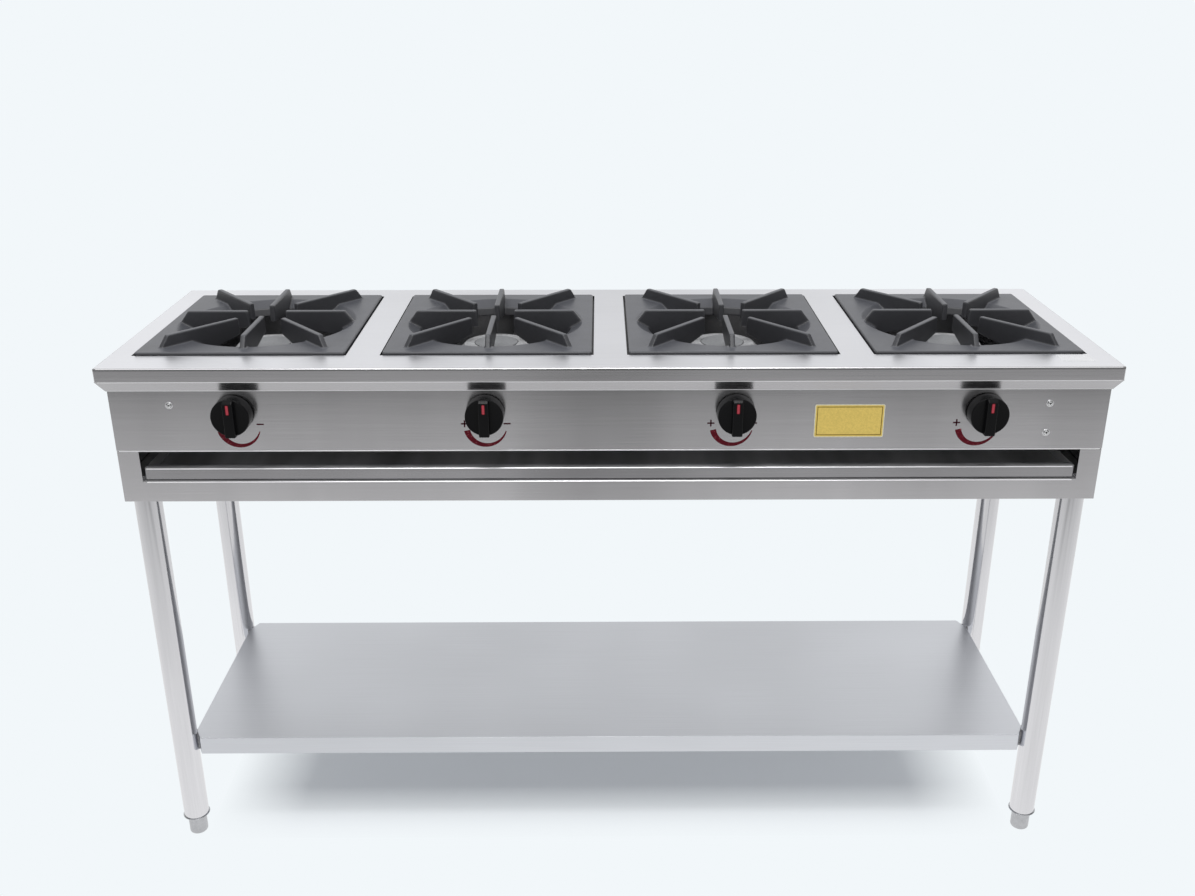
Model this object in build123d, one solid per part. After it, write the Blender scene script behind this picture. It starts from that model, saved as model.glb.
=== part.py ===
from build123d import *
import math
import os

# Overall sizes, in millimetres. X runs to the right, Y to the back and Z up.
# The origin is on the floor, under the middle of the worktop.
worktop_width = 1400.0
worktop_depth = 428.0
worktop_height = 802.0
burner_count = 4
end_border = 34.3

# Sheet steel and clearances
sheet = 1.2
bend_radius = 2.0
running_gap = 0.3
fit_clearance = 0.05
cut_past = 1.0

# Worktop edge: an upright lip, then a return that slants in under it
lip_height = 19.0
return_height = 16.0
return_inset = 9.5

# Body under the worktop
body_height = 200.8
panel_height = 124.8
side_return = 20.0
post_width = 30.0
rail_height = 30.7
side_flange = 45.0
top_flange = 15.0

# Grates and the recesses that they lie in
grate_width = 294.0
grate_depth = 320.0
grate_center_y = 8.0
grate_gap = 2.5
grate_thickness = 8.0
grate_rise = 3.5
grate_edge = 1.2
grate_corner = 3.0
recess_ledge = 11.0
dish_radius = 132.0
hole_radius = 114.0
dish_drop = 10.0
skirt_drop = 18.0
skirt_radius = 109.0
skirt_wall = 5.0
finger_width = 8.0
finger_draft = 2.0
finger_top = 20.8
finger_inner = 29.0
corner_finger_inner = 53.0
finger_tip_drop = 4.0
finger_slope = 13.0
side_finger_reach = 118.0
front_finger_reach = 131.0
corner_finger_reach = 169.0
corner_finger_angle = 50.0

# Burners
burner_drop = 29.0
cap_radius = 54.0
cap_height = 16.0
cap_disc_radius = 32.0
cap_groove = 1.6
cap_shoulder = 6.0
cap_wall = 5.0
cap_spigot = 5.0
port_count = 28
port_width = 2.4
port_height = 5.0
port_rise = 1.5
cup_radius = 50.0
cup_wall = 4.0
cup_depth = 43.0
cup_taper = 12.0
cup_corner = 14.0
venturi_radius = 14.0
venturi_wall = 3.0
venturi_mouth_radius = 21.0
venturi_flare = 22.0
air_gap = 25.8
venturi_end = 20.0
burner_foot_radius = 9.0
burner_foot_spacing = 64.0
burner_screw_radius = 3.0
burner_screw_depth = 12.0
burner_screw_head = 5.8
burner_screw_head_height = 4.0
burner_foot_overlap = 8.0

# Rails that carry the burners
rail_drop = 114.0
rail_depth = 18.0
rail_width = 30.0

# Gas taps, knobs and pipes
tap_drop = 67.0
tap_radius = 14.0
tap_length = 46.0
tap_offset = 5.0
tap_nose = 3.0
tap_gas_way = 3.0
tap_foot_ratio = 0.8
plug_radius = 8.0
plug_taper = 1.5
plug_length = 34.0
plug_socket_depth = 20.0
bonnet_thickness = 4.0
bonnet_width = 40.0
bonnet_height = 24.0
spindle_radius = 4.0
spindle_flat = 2.8
push_travel = 3.0
injector_length = 14.0
injector_radius = 5.5
injector_hex = 5.0
injector_taper = 3.0
jet_radius = 0.9
knob_radius = 26.8
knob_front_radius = 24.6
knob_skirt_depth = 14.0
knob_depth = 27.0
knob_grip_width = 14.5
knob_bore_depth = 14.0
knob_edge = 2.0
knob_grip_edge = 1.2
knob_wall = 3.5
knob_hollow = 5.0
knob_hub_wall = 5.0
spindle_hole_gap = 3.0
pipe_radius = 10.48
pipe_wall = 2.6
manifold_drop = 31.0
manifold_setback = 33.0
manifold_inset = 64.0
manifold_boss = 4.0
manifold_boss_radius = 9.8
inlet_inset = 59.0
inlet_bend = 24.0
inlet_straight = 12.0
inlet_nut = 5.0
inlet_nut_length = 8.0
inlet_hole_gap = 2.0
bracket_inset = 82.0
bracket_width = 26.0
bracket_sheet = 2.0
bracket_rise = 21.0
bracket_fall = 45.0
bracket_margin = 5.0

# Screws in the control panel
screw_rise = 11.0
screw_fall = 32.0
screw_head_radius = 4.3
screw_head_height = 2.6
screw_shank_radius = 2.0
screw_point = 4.0
screw_socket_radius = 1.4
screw_socket_share = 0.6

# Drip tray and its runners
tray_front_height = 17.8
tray_side_gap = 2.7
tray_setback = 4.0
tray_lift = 0.7
tray_flange = 12.0
tray_back_gap = 12.0
runner_width = 42.0
runner_drop = 18.0

# Legs, feet and shelf
leg_radius = 19.0
leg_wall = 1.5
leg_setback = 15.9
foot_height = 31.0
foot_radius = 14.0
foot_round = 4.0
collar_radius = 20.6
collar_height = 4.0
collar_small_radius = 15.2
collar_rim = 1.0
bush_length = 30.0
stem_radius = 6.0
stem_length = 50.0
socket_plate = 3.0
socket_margin = 4.0
socket_length = 42.0
shelf_top = 183.4
shelf_lip = 28.7
shelf_return = 10.0
shelf_end_gap = 15.3
shelf_overlap = 10.7
shelf_cut_angle = 26.7
brace_width = 70.0
brace_depth = 20.0
brace_flange = 16.0

# Places worked out from the sizes above
half_body = worktop_width / 2 - return_inset - sheet - running_gap
half_depth = worktop_depth / 2 - return_inset - sheet - running_gap
panel_face = -half_depth
panel_inner = panel_face + sheet
body_top = worktop_height - sheet
body_bottom = worktop_height - body_height
panel_bottom = worktop_height - panel_height
rail_top = worktop_height - rail_drop
tap_axis_height = worktop_height - tap_drop
burner_pitch = (worktop_width - 2 * end_border - grate_width) / (burner_count - 1)
burner_xs = [(i - (burner_count - 1) / 2) * burner_pitch for i in range(burner_count)]
cap_top = worktop_height - burner_drop
cup_top = cap_top - cap_height
cup_bottom = cup_top - cup_depth
recess_drop = grate_thickness - grate_rise + running_gap
leg_spread_x = half_body - leg_radius
leg_spread_y = half_depth - leg_radius - leg_setback
shelf_width = 2 * (leg_spread_x - shelf_end_gap)
shelf_depth = 2 * (leg_spread_y + shelf_overlap)
leg_bottom = foot_height + collar_height
opening_half = half_body - post_width
slot_bottom = body_bottom + rail_height
tray_bottom = slot_bottom + tray_lift
tray_half = opening_half - tray_side_gap
tray_front = panel_face + tray_setback
tray_back = half_depth - sheet - tray_back_gap
tap_front = panel_inner + tap_offset
tap_back = tap_front + tap_length
injector_tip = tap_back + injector_length
venturi_mouth = injector_tip + air_gap
venturi_length = grate_center_y - venturi_mouth
knob_back = panel_face - push_travel - running_gap * 2
knob_front = knob_back - knob_depth
manifold_y = panel_inner + manifold_setback
manifold_z = tap_axis_height - manifold_drop
manifold_end = half_body - manifold_inset
inlet_x = half_body - inlet_inset
inlet_start = inlet_x - inlet_bend - inlet_straight
inlet_end = -knob_front
bracket_x = half_body - bracket_inset
screw_upper = tap_axis_height + screw_rise
screw_lower = tap_axis_height - screw_fall
legs = {
    "front_left": (-leg_spread_x, -leg_spread_y),
    "front_right": (leg_spread_x, -leg_spread_y),
    "back_left": (-leg_spread_x, leg_spread_y),
    "back_right": (leg_spread_x, leg_spread_y),
}


def block(x, y, z):
    """A rectangular solid between the given pairs of limits."""
    size = Box(x[1] - x[0], y[1] - y[0], z[1] - z[0])
    return Pos((x[0] + x[1]) / 2, (y[0] + y[1]) / 2, (z[0] + z[1]) / 2) * size


def rod(radius, start, end):
    """A round bar from one point to another."""
    direction = Vector(*end) - Vector(*start)
    plane = Plane(origin=start, z_dir=direction)
    return extrude(plane * Circle(radius), direction.length)


def turned(points, at=(0, 0, 0), axis=(0, 0, 1), side=(1, 0, 0)):
    """A turned solid: points are (radius, height) pairs along the axis."""
    plane = Plane(origin=at, x_dir=side, z_dir=Vector(*side).cross(Vector(*axis)))
    outline = make_face(Polyline(*points, close=True))
    return revolve(plane * outline, Axis(at, axis))


def folded(points, start, length, along="X", thickness=sheet):
    """A folded strip of sheet. points are its outer line, seen along the strip."""
    line = FilletPolyline(*points, radius=bend_radius)
    outline = Wire(line.edges()).offset_2d(thickness, kind=Kind.ARC, side=Side.LEFT, closed=True)
    if along == "X":
        plane = Plane(origin=(start, 0, 0), x_dir=(0, 1, 0), z_dir=(1, 0, 0))
    else:
        plane = Plane(origin=(0, start, 0), x_dir=(-1, 0, 0), z_dir=(0, 1, 0))
    return extrude(plane * make_face(outline), length)


def rounded_tray(outline_size, floor_size, top, height):
    """A solid whose plan shrinks evenly from outline_size to floor_size below its top."""
    upper = Pos(0, 0, top) * Rectangle(*outline_size)
    lower = Pos(0, 0, top - height) * Rectangle(*floor_size)
    return loft([upper.face(), lower.face()])


def worktop():
    """The pressed top sheet, open below, with four stepped recesses."""
    fold = worktop_height - lip_height
    plan = (worktop_width, worktop_depth)
    low_plan = (worktop_width - 2 * return_inset, worktop_depth - 2 * return_inset)
    inner_plan = tuple(side - 2 * sheet for side in plan)
    inner_low = tuple(side - 2 * sheet for side in low_plan)
    upper = extrude(Pos(0, 0, fold) * Rectangle(*plan), lip_height)
    upper = fillet(upper.edges().group_by(Axis.Z)[-1] + upper.edges().filter_by(Axis.Z), bend_radius)
    lower = rounded_tray(plan, low_plan, fold, return_height)
    body = upper + lower
    body -= extrude(Pos(0, 0, fold) * Rectangle(*inner_plan), lip_height - sheet)
    body -= rounded_tray(inner_plan, inner_low, fold, return_height)
    opening = (grate_width + 2 * grate_gap, grate_depth + 2 * grate_gap)
    ledge_z = worktop_height - recess_drop
    for x in burner_xs:
        at = Pos(x, grate_center_y, 0)
        pan_size = [side + 2 * sheet for side in opening]
        hole_size = [side - 2 * recess_ledge for side in opening]
        pan = extrude(at * Pos(0, 0, ledge_z - sheet) * Rectangle(*pan_size), recess_drop + sheet / 2)
        body += pan
        body -= extrude(at * Pos(0, 0, ledge_z) * Rectangle(*opening), recess_drop + sheet)
        body -= extrude(at * Pos(0, 0, ledge_z - 2 * sheet) * Rectangle(*hole_size), 3 * sheet)
    return body


def hole_through_panel(radius, x, z):
    """A round cut through the front sheet."""
    return rod(radius, (x, panel_face - cut_past, z), (x, panel_inner + cut_past, z))


def control_panel():
    """The front panel, with flanges at the top, bottom and sides."""
    points = [
        (panel_face + top_flange, body_top),
        (panel_face, body_top),
        (panel_face, panel_bottom),
        (panel_face + side_return, panel_bottom),
    ]
    panel = folded(points, -half_body, 2 * half_body)
    inner = half_body - sheet
    for side in (-1, 1):
        edge = sorted((side * inner, side * (inner - sheet)))
        span = (panel_inner, panel_inner + side_return)
        corner = sorted((side * (half_body - top_flange), side * half_body))
        panel -= block(corner, (panel_inner, 0), (body_top - bend_radius, body_top))
        panel -= block(sorted((side * inner, side * half_body)), (panel_inner, 0), (panel_bottom, body_top))
        panel += block(edge, span, (panel_bottom + sheet, body_top - bend_radius))
    for x in burner_xs:
        panel -= hole_through_panel(spindle_radius + spindle_hole_gap, x, tap_axis_height)
    for x, z in panel_screw_places():
        panel -= hole_through_panel(screw_shank_radius + fit_clearance, x, z)
    return panel


def panel_screw_places():
    """Where screws hold the manifold brackets to the panel."""
    return [(-bracket_x, screw_upper), (bracket_x, screw_upper), (bracket_x, screw_lower)]


def tray_frame():
    """The lower front frame: two posts and a rail around the tray's mouth."""
    face = block((-half_body, half_body), (panel_face, panel_inner), (body_bottom, panel_bottom))
    mouth_y = (panel_face - cut_past, panel_inner + cut_past)
    face -= block((-opening_half, opening_half), mouth_y, (slot_bottom, panel_bottom + cut_past))
    back = (panel_inner - sheet / 2, panel_inner + side_return)
    inner = half_body - sheet
    for side in (-1, 1):
        edge = sorted((side * inner, side * (inner - sheet)))
        face += block(edge, back, (body_bottom + bend_radius, panel_bottom))
    flange_end = half_body - side_flange
    face += block((-flange_end, flange_end), back, (body_bottom, body_bottom + sheet))
    face += block((-opening_half, opening_half), back, (slot_bottom - sheet, slot_bottom))
    return face


def side_panel(side):
    """One side of the body, with a wide bottom flange that the legs bolt to."""
    points = [
        (half_body - top_flange, body_top),
        (half_body, body_top),
        (half_body, body_bottom),
        (half_body - side_flange, body_bottom),
    ]
    if side > 0:
        outline = [(-x, z) for x, z in points]
    else:
        outline = list(reversed(points))
    panel = folded(outline, panel_inner, 2 * half_depth - 2 * sheet, along="Y")
    for x, y in legs.values():
        if x * side > 0:
            bore = leg_radius - leg_wall + fit_clearance
            panel -= rod(bore, (x, y, body_bottom - cut_past), (x, y, body_bottom + sheet + cut_past))
    return panel


def back_panel():
    """The plain rear sheet, with a hole for the gas inlet."""
    inner = half_depth - sheet
    points = [
        (inner - top_flange, body_top),
        (half_depth, body_top),
        (half_depth, body_bottom),
        (inner - top_flange, body_bottom),
    ]
    panel = folded(list(reversed(points)), -half_body, 2 * half_body)
    for side in (-1, 1):
        strip = sorted((side * (half_body - side_flange), side * (half_body + cut_past)))
        panel -= block(strip, (0, inner), (body_bottom - cut_past, body_top + cut_past))
    hole = [(inlet_x, y, manifold_z) for y in (inner - cut_past, half_depth + cut_past)]
    panel -= rod(pipe_radius + inlet_hole_gap, *hole)
    return panel


def burner_rail(y):
    """A channel across the body that carries the burners, open below."""
    points = [
        (y + rail_width / 2, rail_top - rail_depth),
        (y + rail_width / 2, rail_top),
        (y - rail_width / 2, rail_top),
        (y - rail_width / 2, rail_top - rail_depth),
    ]
    inner = half_body - sheet
    rail = folded(points, -inner, 2 * inner)
    for x in burner_xs:
        low = rail_top - 2 * sheet
        rail -= rod(burner_screw_radius + fit_clearance, (x, y, low), (x, y, rail_top + cut_past))
    return rail


def tray_runner(side):
    """An angle on the side panel that the tray slides on."""
    top = tray_bottom - running_gap
    outer = half_body - sheet
    points = [
        (outer - runner_width, top),
        (outer, top),
        (outer, top - runner_drop),
    ]
    start = panel_inner + side_return + running_gap
    length = tray_back - start
    if side > 0:
        return folded([(-x, z) for x, z in points], start, length, along="Y", thickness=sheet)
    return folded([(x, z) for x, z in reversed(points)], start, length, along="Y", thickness=sheet)


def drip_tray():
    """A shallow pull-out tray with a folded front lip."""
    top = tray_bottom + tray_front_height
    outer = block((-tray_half, tray_half), (tray_front, tray_back), (tray_bottom, top))
    corners = outer.edges().filter_by(Axis.Z) + outer.edges().group_by(Axis.Z)[0]
    outer = fillet(corners, bend_radius)
    inner_x = tray_half - sheet
    inner_y = (tray_front + sheet, tray_back - sheet)
    outer -= block((-inner_x, inner_x), inner_y, (tray_bottom + sheet, top + cut_past))
    outer += block((-inner_x, inner_x), (tray_front + sheet, tray_front + tray_flange), (top - sheet, top))
    return outer


def leg(x, y):
    """A round tube leg."""
    tube = rod(leg_radius, (x, y, leg_bottom), (x, y, body_bottom))
    return tube - rod(leg_radius - leg_wall, (x, y, leg_bottom - cut_past), (x, y, body_bottom + cut_past))


def leg_socket(x, y):
    """A plate inside the body with a spigot that stands in the leg."""
    base = body_bottom + sheet
    outer = math.copysign(half_body - sheet - bend_radius, x)
    inner = math.copysign(half_body - side_flange, x)
    half = leg_radius + socket_margin
    plate = block(sorted((outer, inner)), (y - half, y + half), (base, base + socket_plate))
    spigot = leg_radius - leg_wall - 2 * fit_clearance
    return plate + rod(spigot, (x, y, body_bottom - socket_length), (x, y, base))


def foot_bush(x, y):
    """The collar at the foot of a leg, bored for the foot's stem."""
    top = leg_bottom + bush_length
    plug = rod(leg_radius - leg_wall - fit_clearance, (x, y, leg_bottom), (x, y, top))
    rim = collar_height - collar_rim
    cone = [(0, 0), (collar_small_radius, 0), (collar_radius, rim), (collar_radius, collar_height), (0, collar_height)]
    collar = turned(cone, at=(x, y, foot_height))
    bore = stem_radius + fit_clearance
    return plug + collar - rod(bore, (x, y, foot_height - cut_past), (x, y, top + cut_past))


def foot(x, y):
    """A levelling foot on a stem that screws up into the bush."""
    top = foot_height - running_gap
    pad = rod(foot_radius, (x, y, 0), (x, y, top))
    pad = fillet(pad.edges().filter_by(GeomType.CIRCLE).sort_by(Axis.Z)[0], foot_round)
    return pad + rod(stem_radius, (x, y, top - foot_round), (x, y, top + stem_length))


def shelf_outline():
    """The shelf's plan: a rectangle whose corners are cut off beside the legs."""
    along_x = math.cos(math.radians(shelf_cut_angle))
    along_y = math.sin(math.radians(shelf_cut_angle))
    reach = leg_spread_x * along_x + leg_spread_y * along_y - leg_radius - fit_clearance
    half_x = shelf_width / 2
    half_y = shelf_depth / 2
    cut_x = (reach - half_y * along_y) / along_x
    cut_y = (reach - half_x * along_x) / along_y
    right = [(cut_x, -half_y), (half_x, -cut_y), (half_x, cut_y), (cut_x, half_y)]
    points = right + [(-x, -y) for x, y in right]
    return make_face(Polyline(*points, close=True))


def shelf():
    """The lower shelf: a sheet with lips all round, returned inwards."""
    plan = shelf_outline()
    low = shelf_top - shelf_lip
    body = extrude(Pos(0, 0, low) * plan, shelf_lip)
    body = fillet(body.edges().group_by(Axis.Z)[-1], bend_radius / 2)
    inside = offset(plan, -sheet, kind=Kind.INTERSECTION)
    mouth = offset(plan, -shelf_return, kind=Kind.INTERSECTION)
    body -= extrude(Pos(0, 0, low + sheet) * inside, shelf_lip - 2 * sheet)
    body -= extrude(Pos(0, 0, low - cut_past) * mouth, 2 * sheet + cut_past)
    return body


def shelf_brace():
    """A hat section under the shelf that keeps it from sagging."""
    under = shelf_top - sheet
    half = brace_width / 2
    points = [
        (half + brace_flange, under),
        (half, under),
        (half, under - brace_depth),
        (-half, under - brace_depth),
        (-half, under),
        (-half - brace_flange, under),
    ]
    length = shelf_width - 2 * shelf_return - 2 * running_gap
    return folded(points, -length / 2, length)


def gas_manifold():
    """The pipe that feeds the taps, with a boss under each tap."""
    start = (-manifold_end, manifold_y, manifold_z)
    end = (inlet_start, manifold_y, manifold_z)
    boss_top = manifold_z + pipe_radius + manifold_boss
    pipe = rod(pipe_radius, start, end)
    for x in burner_xs:
        pipe += rod(manifold_boss_radius, (x, manifold_y, manifold_z), (x, manifold_y, boss_top))
    bore_start = (pipe_wall - manifold_end, manifold_y, manifold_z)
    pipe -= rod(pipe_radius - pipe_wall, bore_start, (inlet_start + cut_past, manifold_y, manifold_z))
    for x in burner_xs:
        pipe -= rod(tap_gas_way, (x, manifold_y, manifold_z), (x, manifold_y, boss_top + cut_past))
    return pipe


def gas_inlet():
    """The bent pipe from the manifold to the threaded stub behind the body."""
    start = (inlet_start, manifold_y, manifold_z)
    corner = (inlet_x, manifold_y, manifold_z)
    end = (inlet_x, inlet_end, manifold_z)
    path = FilletPolyline(start, corner, end, radius=inlet_bend)
    ring = Circle(pipe_radius) - Circle(pipe_radius - pipe_wall)
    pipe = sweep(Plane(origin=start, z_dir=(1, 0, 0)) * ring, path)
    behind = Plane(origin=(inlet_x, half_depth, manifold_z), z_dir=(0, 1, 0))
    nut = extrude(behind * RegularPolygon(pipe_radius + inlet_nut, 6), inlet_nut_length)
    inside = pipe_radius - pipe_wall / 2
    return pipe + (nut - rod(inside, (inlet_x, 0, manifold_z), (inlet_x, inlet_end, manifold_z)))


def manifold_bracket(side):
    """A folded bracket: one leg on the control panel, one with a hole for the pipe."""
    x = side * bracket_x
    inner = x - side * bracket_width / 2
    low = tap_axis_height - bracket_fall
    high = tap_axis_height + bracket_rise
    width = (x - bracket_width / 2, x + bracket_width / 2)
    plate = block(width, (panel_inner, panel_inner + bracket_sheet), (low, high))
    arm_x = sorted((inner, inner + side * bracket_sheet))
    around = pipe_radius + bracket_margin
    arm = block(arm_x, (panel_inner, manifold_y + around), (low, manifold_z + around))
    hole = [(end, manifold_y, manifold_z) for end in (arm_x[0] - cut_past, arm_x[1] + cut_past)]
    arm -= rod(pipe_radius + fit_clearance, *hole)
    bracket = plate + arm
    for px, pz in panel_screw_places():
        if px * side > 0:
            hole = [(px, y, pz) for y in (panel_inner - cut_past, panel_inner + bracket_sheet + cut_past)]
            bracket -= rod(screw_shank_radius + fit_clearance, *hole)
    return bracket


def panel_screw(x, z):
    """A dome-headed screw with a socket."""
    reach = sheet + bracket_sheet + screw_point
    head = [(0, 0), (screw_head_radius, 0), (screw_head_radius * 0.86, screw_head_height * 0.55),
            (screw_head_radius * 0.5, screw_head_height * 0.92), (0, screw_head_height)]
    dome = turned(head, at=(x, panel_face, z), axis=(0, -1, 0))
    shank = rod(screw_shank_radius, (x, panel_face, z), (x, panel_face + reach, z))
    face = panel_face - screw_head_height
    hexagon = Plane(origin=(x, face, z), z_dir=(0, 1, 0)) * RegularPolygon(screw_socket_radius, 6)
    return dome + shank - extrude(hexagon, screw_head_height * screw_socket_share)


def tap_body(x):
    """A gas tap: barrel, bonnet, inlet boss below and outlet behind."""
    z = tap_axis_height
    low = manifold_z + pipe_radius + manifold_boss
    body = rod(tap_radius, (x, tap_front, z), (x, tap_back, z))
    bonnet = Plane(origin=(x, tap_front, z), z_dir=(0, -1, 0)) * SlotOverall(bonnet_width, bonnet_height)
    body += extrude(bonnet, bonnet_thickness)
    foot_plane = Plane(origin=(x, manifold_y, low), z_dir=(0, 0, 1))
    body += extrude(foot_plane * RegularPolygon(tap_radius * tap_foot_ratio, 6), z - low)
    body += rod(injector_radius + tap_gas_way, (x, tap_back, z), (x, tap_back + tap_nose, z))
    wide = plug_radius + fit_clearance
    deep = plug_length + running_gap
    bore = [(0, 0), (wide, 0), (wide - plug_taper, deep), (0, deep)]
    body -= turned(bore, at=(x, tap_front, z), axis=(0, 1, 0))
    stem_hole = tap_front - bonnet_thickness - cut_past
    body -= rod(spindle_radius + fit_clearance, (x, stem_hole, z), (x, tap_front + cut_past, z))
    body -= rod(tap_gas_way, (x, tap_front + plug_length, z), (x, tap_back + tap_nose + cut_past, z))
    body -= rod(tap_gas_way, (x, manifold_y, low - cut_past), (x, manifold_y, z))
    return body


def spindle_shape(x, start, end, clearance=0.0):
    """A round bar with one flat, on the tap's axis."""
    z = tap_axis_height
    bar = rod(spindle_radius + clearance, (x, start, z), (x, end, z))
    low, high = sorted((start, end))
    wide = 2 * spindle_radius
    flat = z + spindle_flat + clearance
    return bar - block((x - wide, x + wide), (low - cut_past, high + cut_past), (flat, z + wide))


def tap_plug(x):
    """The tapered plug that turns in the tap, with a socket for the spindle and a gas way."""
    z = tap_axis_height
    front = tap_front + running_gap
    taper = plug_radius - plug_taper
    long = plug_length - running_gap
    plug = turned([(0, 0), (plug_radius, 0), (taper, long), (0, long)], at=(x, front, z), axis=(0, 1, 0))
    plug -= spindle_shape(x, front - cut_past, front + plug_socket_depth, fit_clearance)
    plug -= rod(tap_gas_way, (x, front + plug_socket_depth, z), (x, tap_back, z))
    return plug - rod(tap_gas_way, (x, manifold_y, z), (x, manifold_y, z - plug_radius - cut_past))


def tap_spindle(x):
    """The spindle that joins knob and plug. It slides in the plug when the knob is pushed."""
    inner = tap_front + running_gap + plug_socket_depth - push_travel - 2 * running_gap
    outer = knob_back - knob_bore_depth + running_gap
    z = tap_axis_height
    behind = tap_front - bonnet_thickness - push_travel - running_gap
    shoulder = rod(spindle_radius, (x, behind, z), (x, tap_front - push_travel, z))
    return spindle_shape(x, inner, outer) + shoulder


def knob(x):
    """A control knob: a tapered skirt and a grip bar across it."""
    z = tap_axis_height
    rim = knob_skirt_depth - knob_edge
    skirt = [(0, 0), (knob_radius, 0), (knob_radius, knob_edge), (knob_front_radius, rim),
             (knob_front_radius - knob_edge, knob_skirt_depth), (0, knob_skirt_depth)]
    body = turned(skirt, at=(x, knob_back, z), axis=(0, -1, 0))
    limit = rod(knob_front_radius - running_gap, (x, knob_back, z), (x, knob_front, z))
    half = knob_grip_width / 2
    bar = block((x - half, x + half), (knob_front, knob_back - knob_edge), (z - knob_radius, z + knob_radius))
    bar = bar & limit
    bar = chamfer(bar.faces().sort_by(Axis.Y)[0].edges(), knob_grip_edge)
    hollow = rod(knob_radius - knob_wall, (x, knob_back + cut_past, z), (x, knob_back - knob_hollow, z))
    hub_back = knob_back + 2 * cut_past
    hub = rod(spindle_radius + knob_hub_wall, (x, hub_back, z), (x, knob_back - 2 * knob_hollow, z))
    body = body + bar - (hollow - hub)
    return body - spindle_shape(x, knob_back + cut_past, knob_back - knob_bore_depth, fit_clearance)


def injector(x):
    """The brass jet screwed into the back of a tap."""
    z = tap_axis_height
    start = tap_back + tap_nose
    long = injector_length - tap_nose
    narrow = injector_radius * math.cos(math.radians(30))
    flats = Plane(origin=(x, start, z), z_dir=(0, 1, 0)) * RegularPolygon(injector_radius, 6)
    body = extrude(flats, injector_hex)
    body += turned([(0, 0), (narrow, 0), (narrow, long - injector_taper), (2 * jet_radius, long), (0, long)],
                   at=(x, start, z), axis=(0, 1, 0))
    return body - rod(jet_radius, (x, start - cut_past, z), (x, injector_tip + cut_past, z))


def cup_outline(shrink):
    """Half the section of the burner's cup, or of its hollow when shrunk by the wall."""
    low = cup_bottom + shrink
    corner = low + cup_corner
    top = cup_top + (cut_past if shrink else 0)
    wide = cup_radius - shrink
    return [(0, low), (wide - cup_taper, low), (wide, corner), (wide, top), (0, top)]


def burner(x):
    """A cast burner: a cup, a mixing tube with a flared mouth, and two feet on the rails."""
    y = grate_center_y
    z = tap_axis_height
    end = venturi_length - venturi_end
    body = turned(cup_outline(0), at=(x, y, 0))
    wide = venturi_mouth_radius
    slim = venturi_radius
    tube = [(0, 0), (wide, 0), (wide, venturi_wall), (slim, venturi_flare), (slim, end), (0, end)]
    body += turned(tube, at=(x, venturi_mouth, z), axis=(0, 1, 0))
    for foot_y in burner_foot_ys():
        body += rod(burner_foot_radius, (x, foot_y, rail_top), (x, foot_y, cup_bottom + burner_foot_overlap))
    body -= turned(cup_outline(cup_wall), at=(x, y, 0))
    narrow = slim - venturi_wall
    way = [(0, -cut_past), (wide - venturi_wall, -cut_past), (narrow, venturi_flare), (narrow, end), (0, end)]
    body -= turned(way, at=(x, venturi_mouth, z), axis=(0, 1, 0))
    for foot_y in burner_foot_ys():
        hole_z = (rail_top - cut_past, rail_top + burner_screw_depth)
        body -= rod(burner_screw_radius - fit_clearance, (x, foot_y, hole_z[0]), (x, foot_y, hole_z[1]))
    return body


def burner_foot_ys():
    """The two rows of feet, one on each rail."""
    return [grate_center_y - burner_foot_spacing / 2, grate_center_y + burner_foot_spacing / 2]


def burner_screw(x, y):
    """A hexagon screw from under the rail up into a burner's foot."""
    top = rail_top - sheet
    head_plane = Plane(origin=(x, y, top), z_dir=(0, 0, -1))
    head = extrude(head_plane * RegularPolygon(burner_screw_head, 6), burner_screw_head_height)
    tip = rail_top + burner_screw_depth - cut_past
    return head + rod(burner_screw_radius - 2 * fit_clearance, (x, y, top - cut_past), (x, y, tip))


def burner_cap(x):
    """The flame spreader: a domed ring with slots round it and a flat disc on top."""
    low = cup_top + running_gap
    shoulder = cap_radius - cap_shoulder
    spigot = cup_radius - cup_wall - running_gap
    ring = spigot - cap_wall
    groove = cap_top - cap_groove
    ledge = cap_disc_radius + cap_groove
    roof = low + cap_wall
    under = [(0, roof), (ring, roof), (ring, low - cap_spigot), (spigot, low - cap_spigot)]
    side = [(spigot, low), (cap_radius, low), (cap_radius, low + cap_height / 2), (shoulder, groove)]
    disc = [(cap_disc_radius, groove), (cap_disc_radius, cap_top), (0, cap_top)]
    top = [(ledge, cap_top - cap_groove / 2), (ledge, groove)]
    cap = turned(under + side + top + disc, at=(x, grate_center_y, 0))
    port_z = (low + port_rise, low + port_rise + port_height)
    for i in range(port_count):
        turn = Rot(0, 0, 360.0 * i / port_count)
        port_x = (cap_radius - cap_wall, cap_radius + cut_past)
        slot = block(port_x, (-port_width / 2, port_width / 2), port_z)
        cap -= Pos(x, grate_center_y, 0) * turn * slot
    return cap


def grate_finger(inner, reach, angle):
    """One finger, as a plate on edge: its foot on the rim, its tip over the burner."""
    top = grate_rise
    low = grate_rise - grate_thickness
    foot_end = reach + finger_slope
    skirt_middle = skirt_radius + skirt_wall / 2
    points = [(foot_end, top - grate_edge), (foot_end, top), (reach, finger_top), (inner, finger_top),
              (inner - finger_draft, -finger_tip_drop), (skirt_radius + finger_draft, -skirt_drop),
              (skirt_middle, -skirt_drop), (dish_radius + finger_draft, low + finger_draft)]
    face = Plane.XZ * make_face(Polyline(*points, close=True))
    finger = extrude(face, finger_width / 2, both=True)
    long_edges = finger.edges().group_by(Axis.Z)[-1].filter_by(Axis.X)
    finger = chamfer(long_edges, finger_draft / 2)
    return Rot(0, 0, angle) * finger


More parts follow.
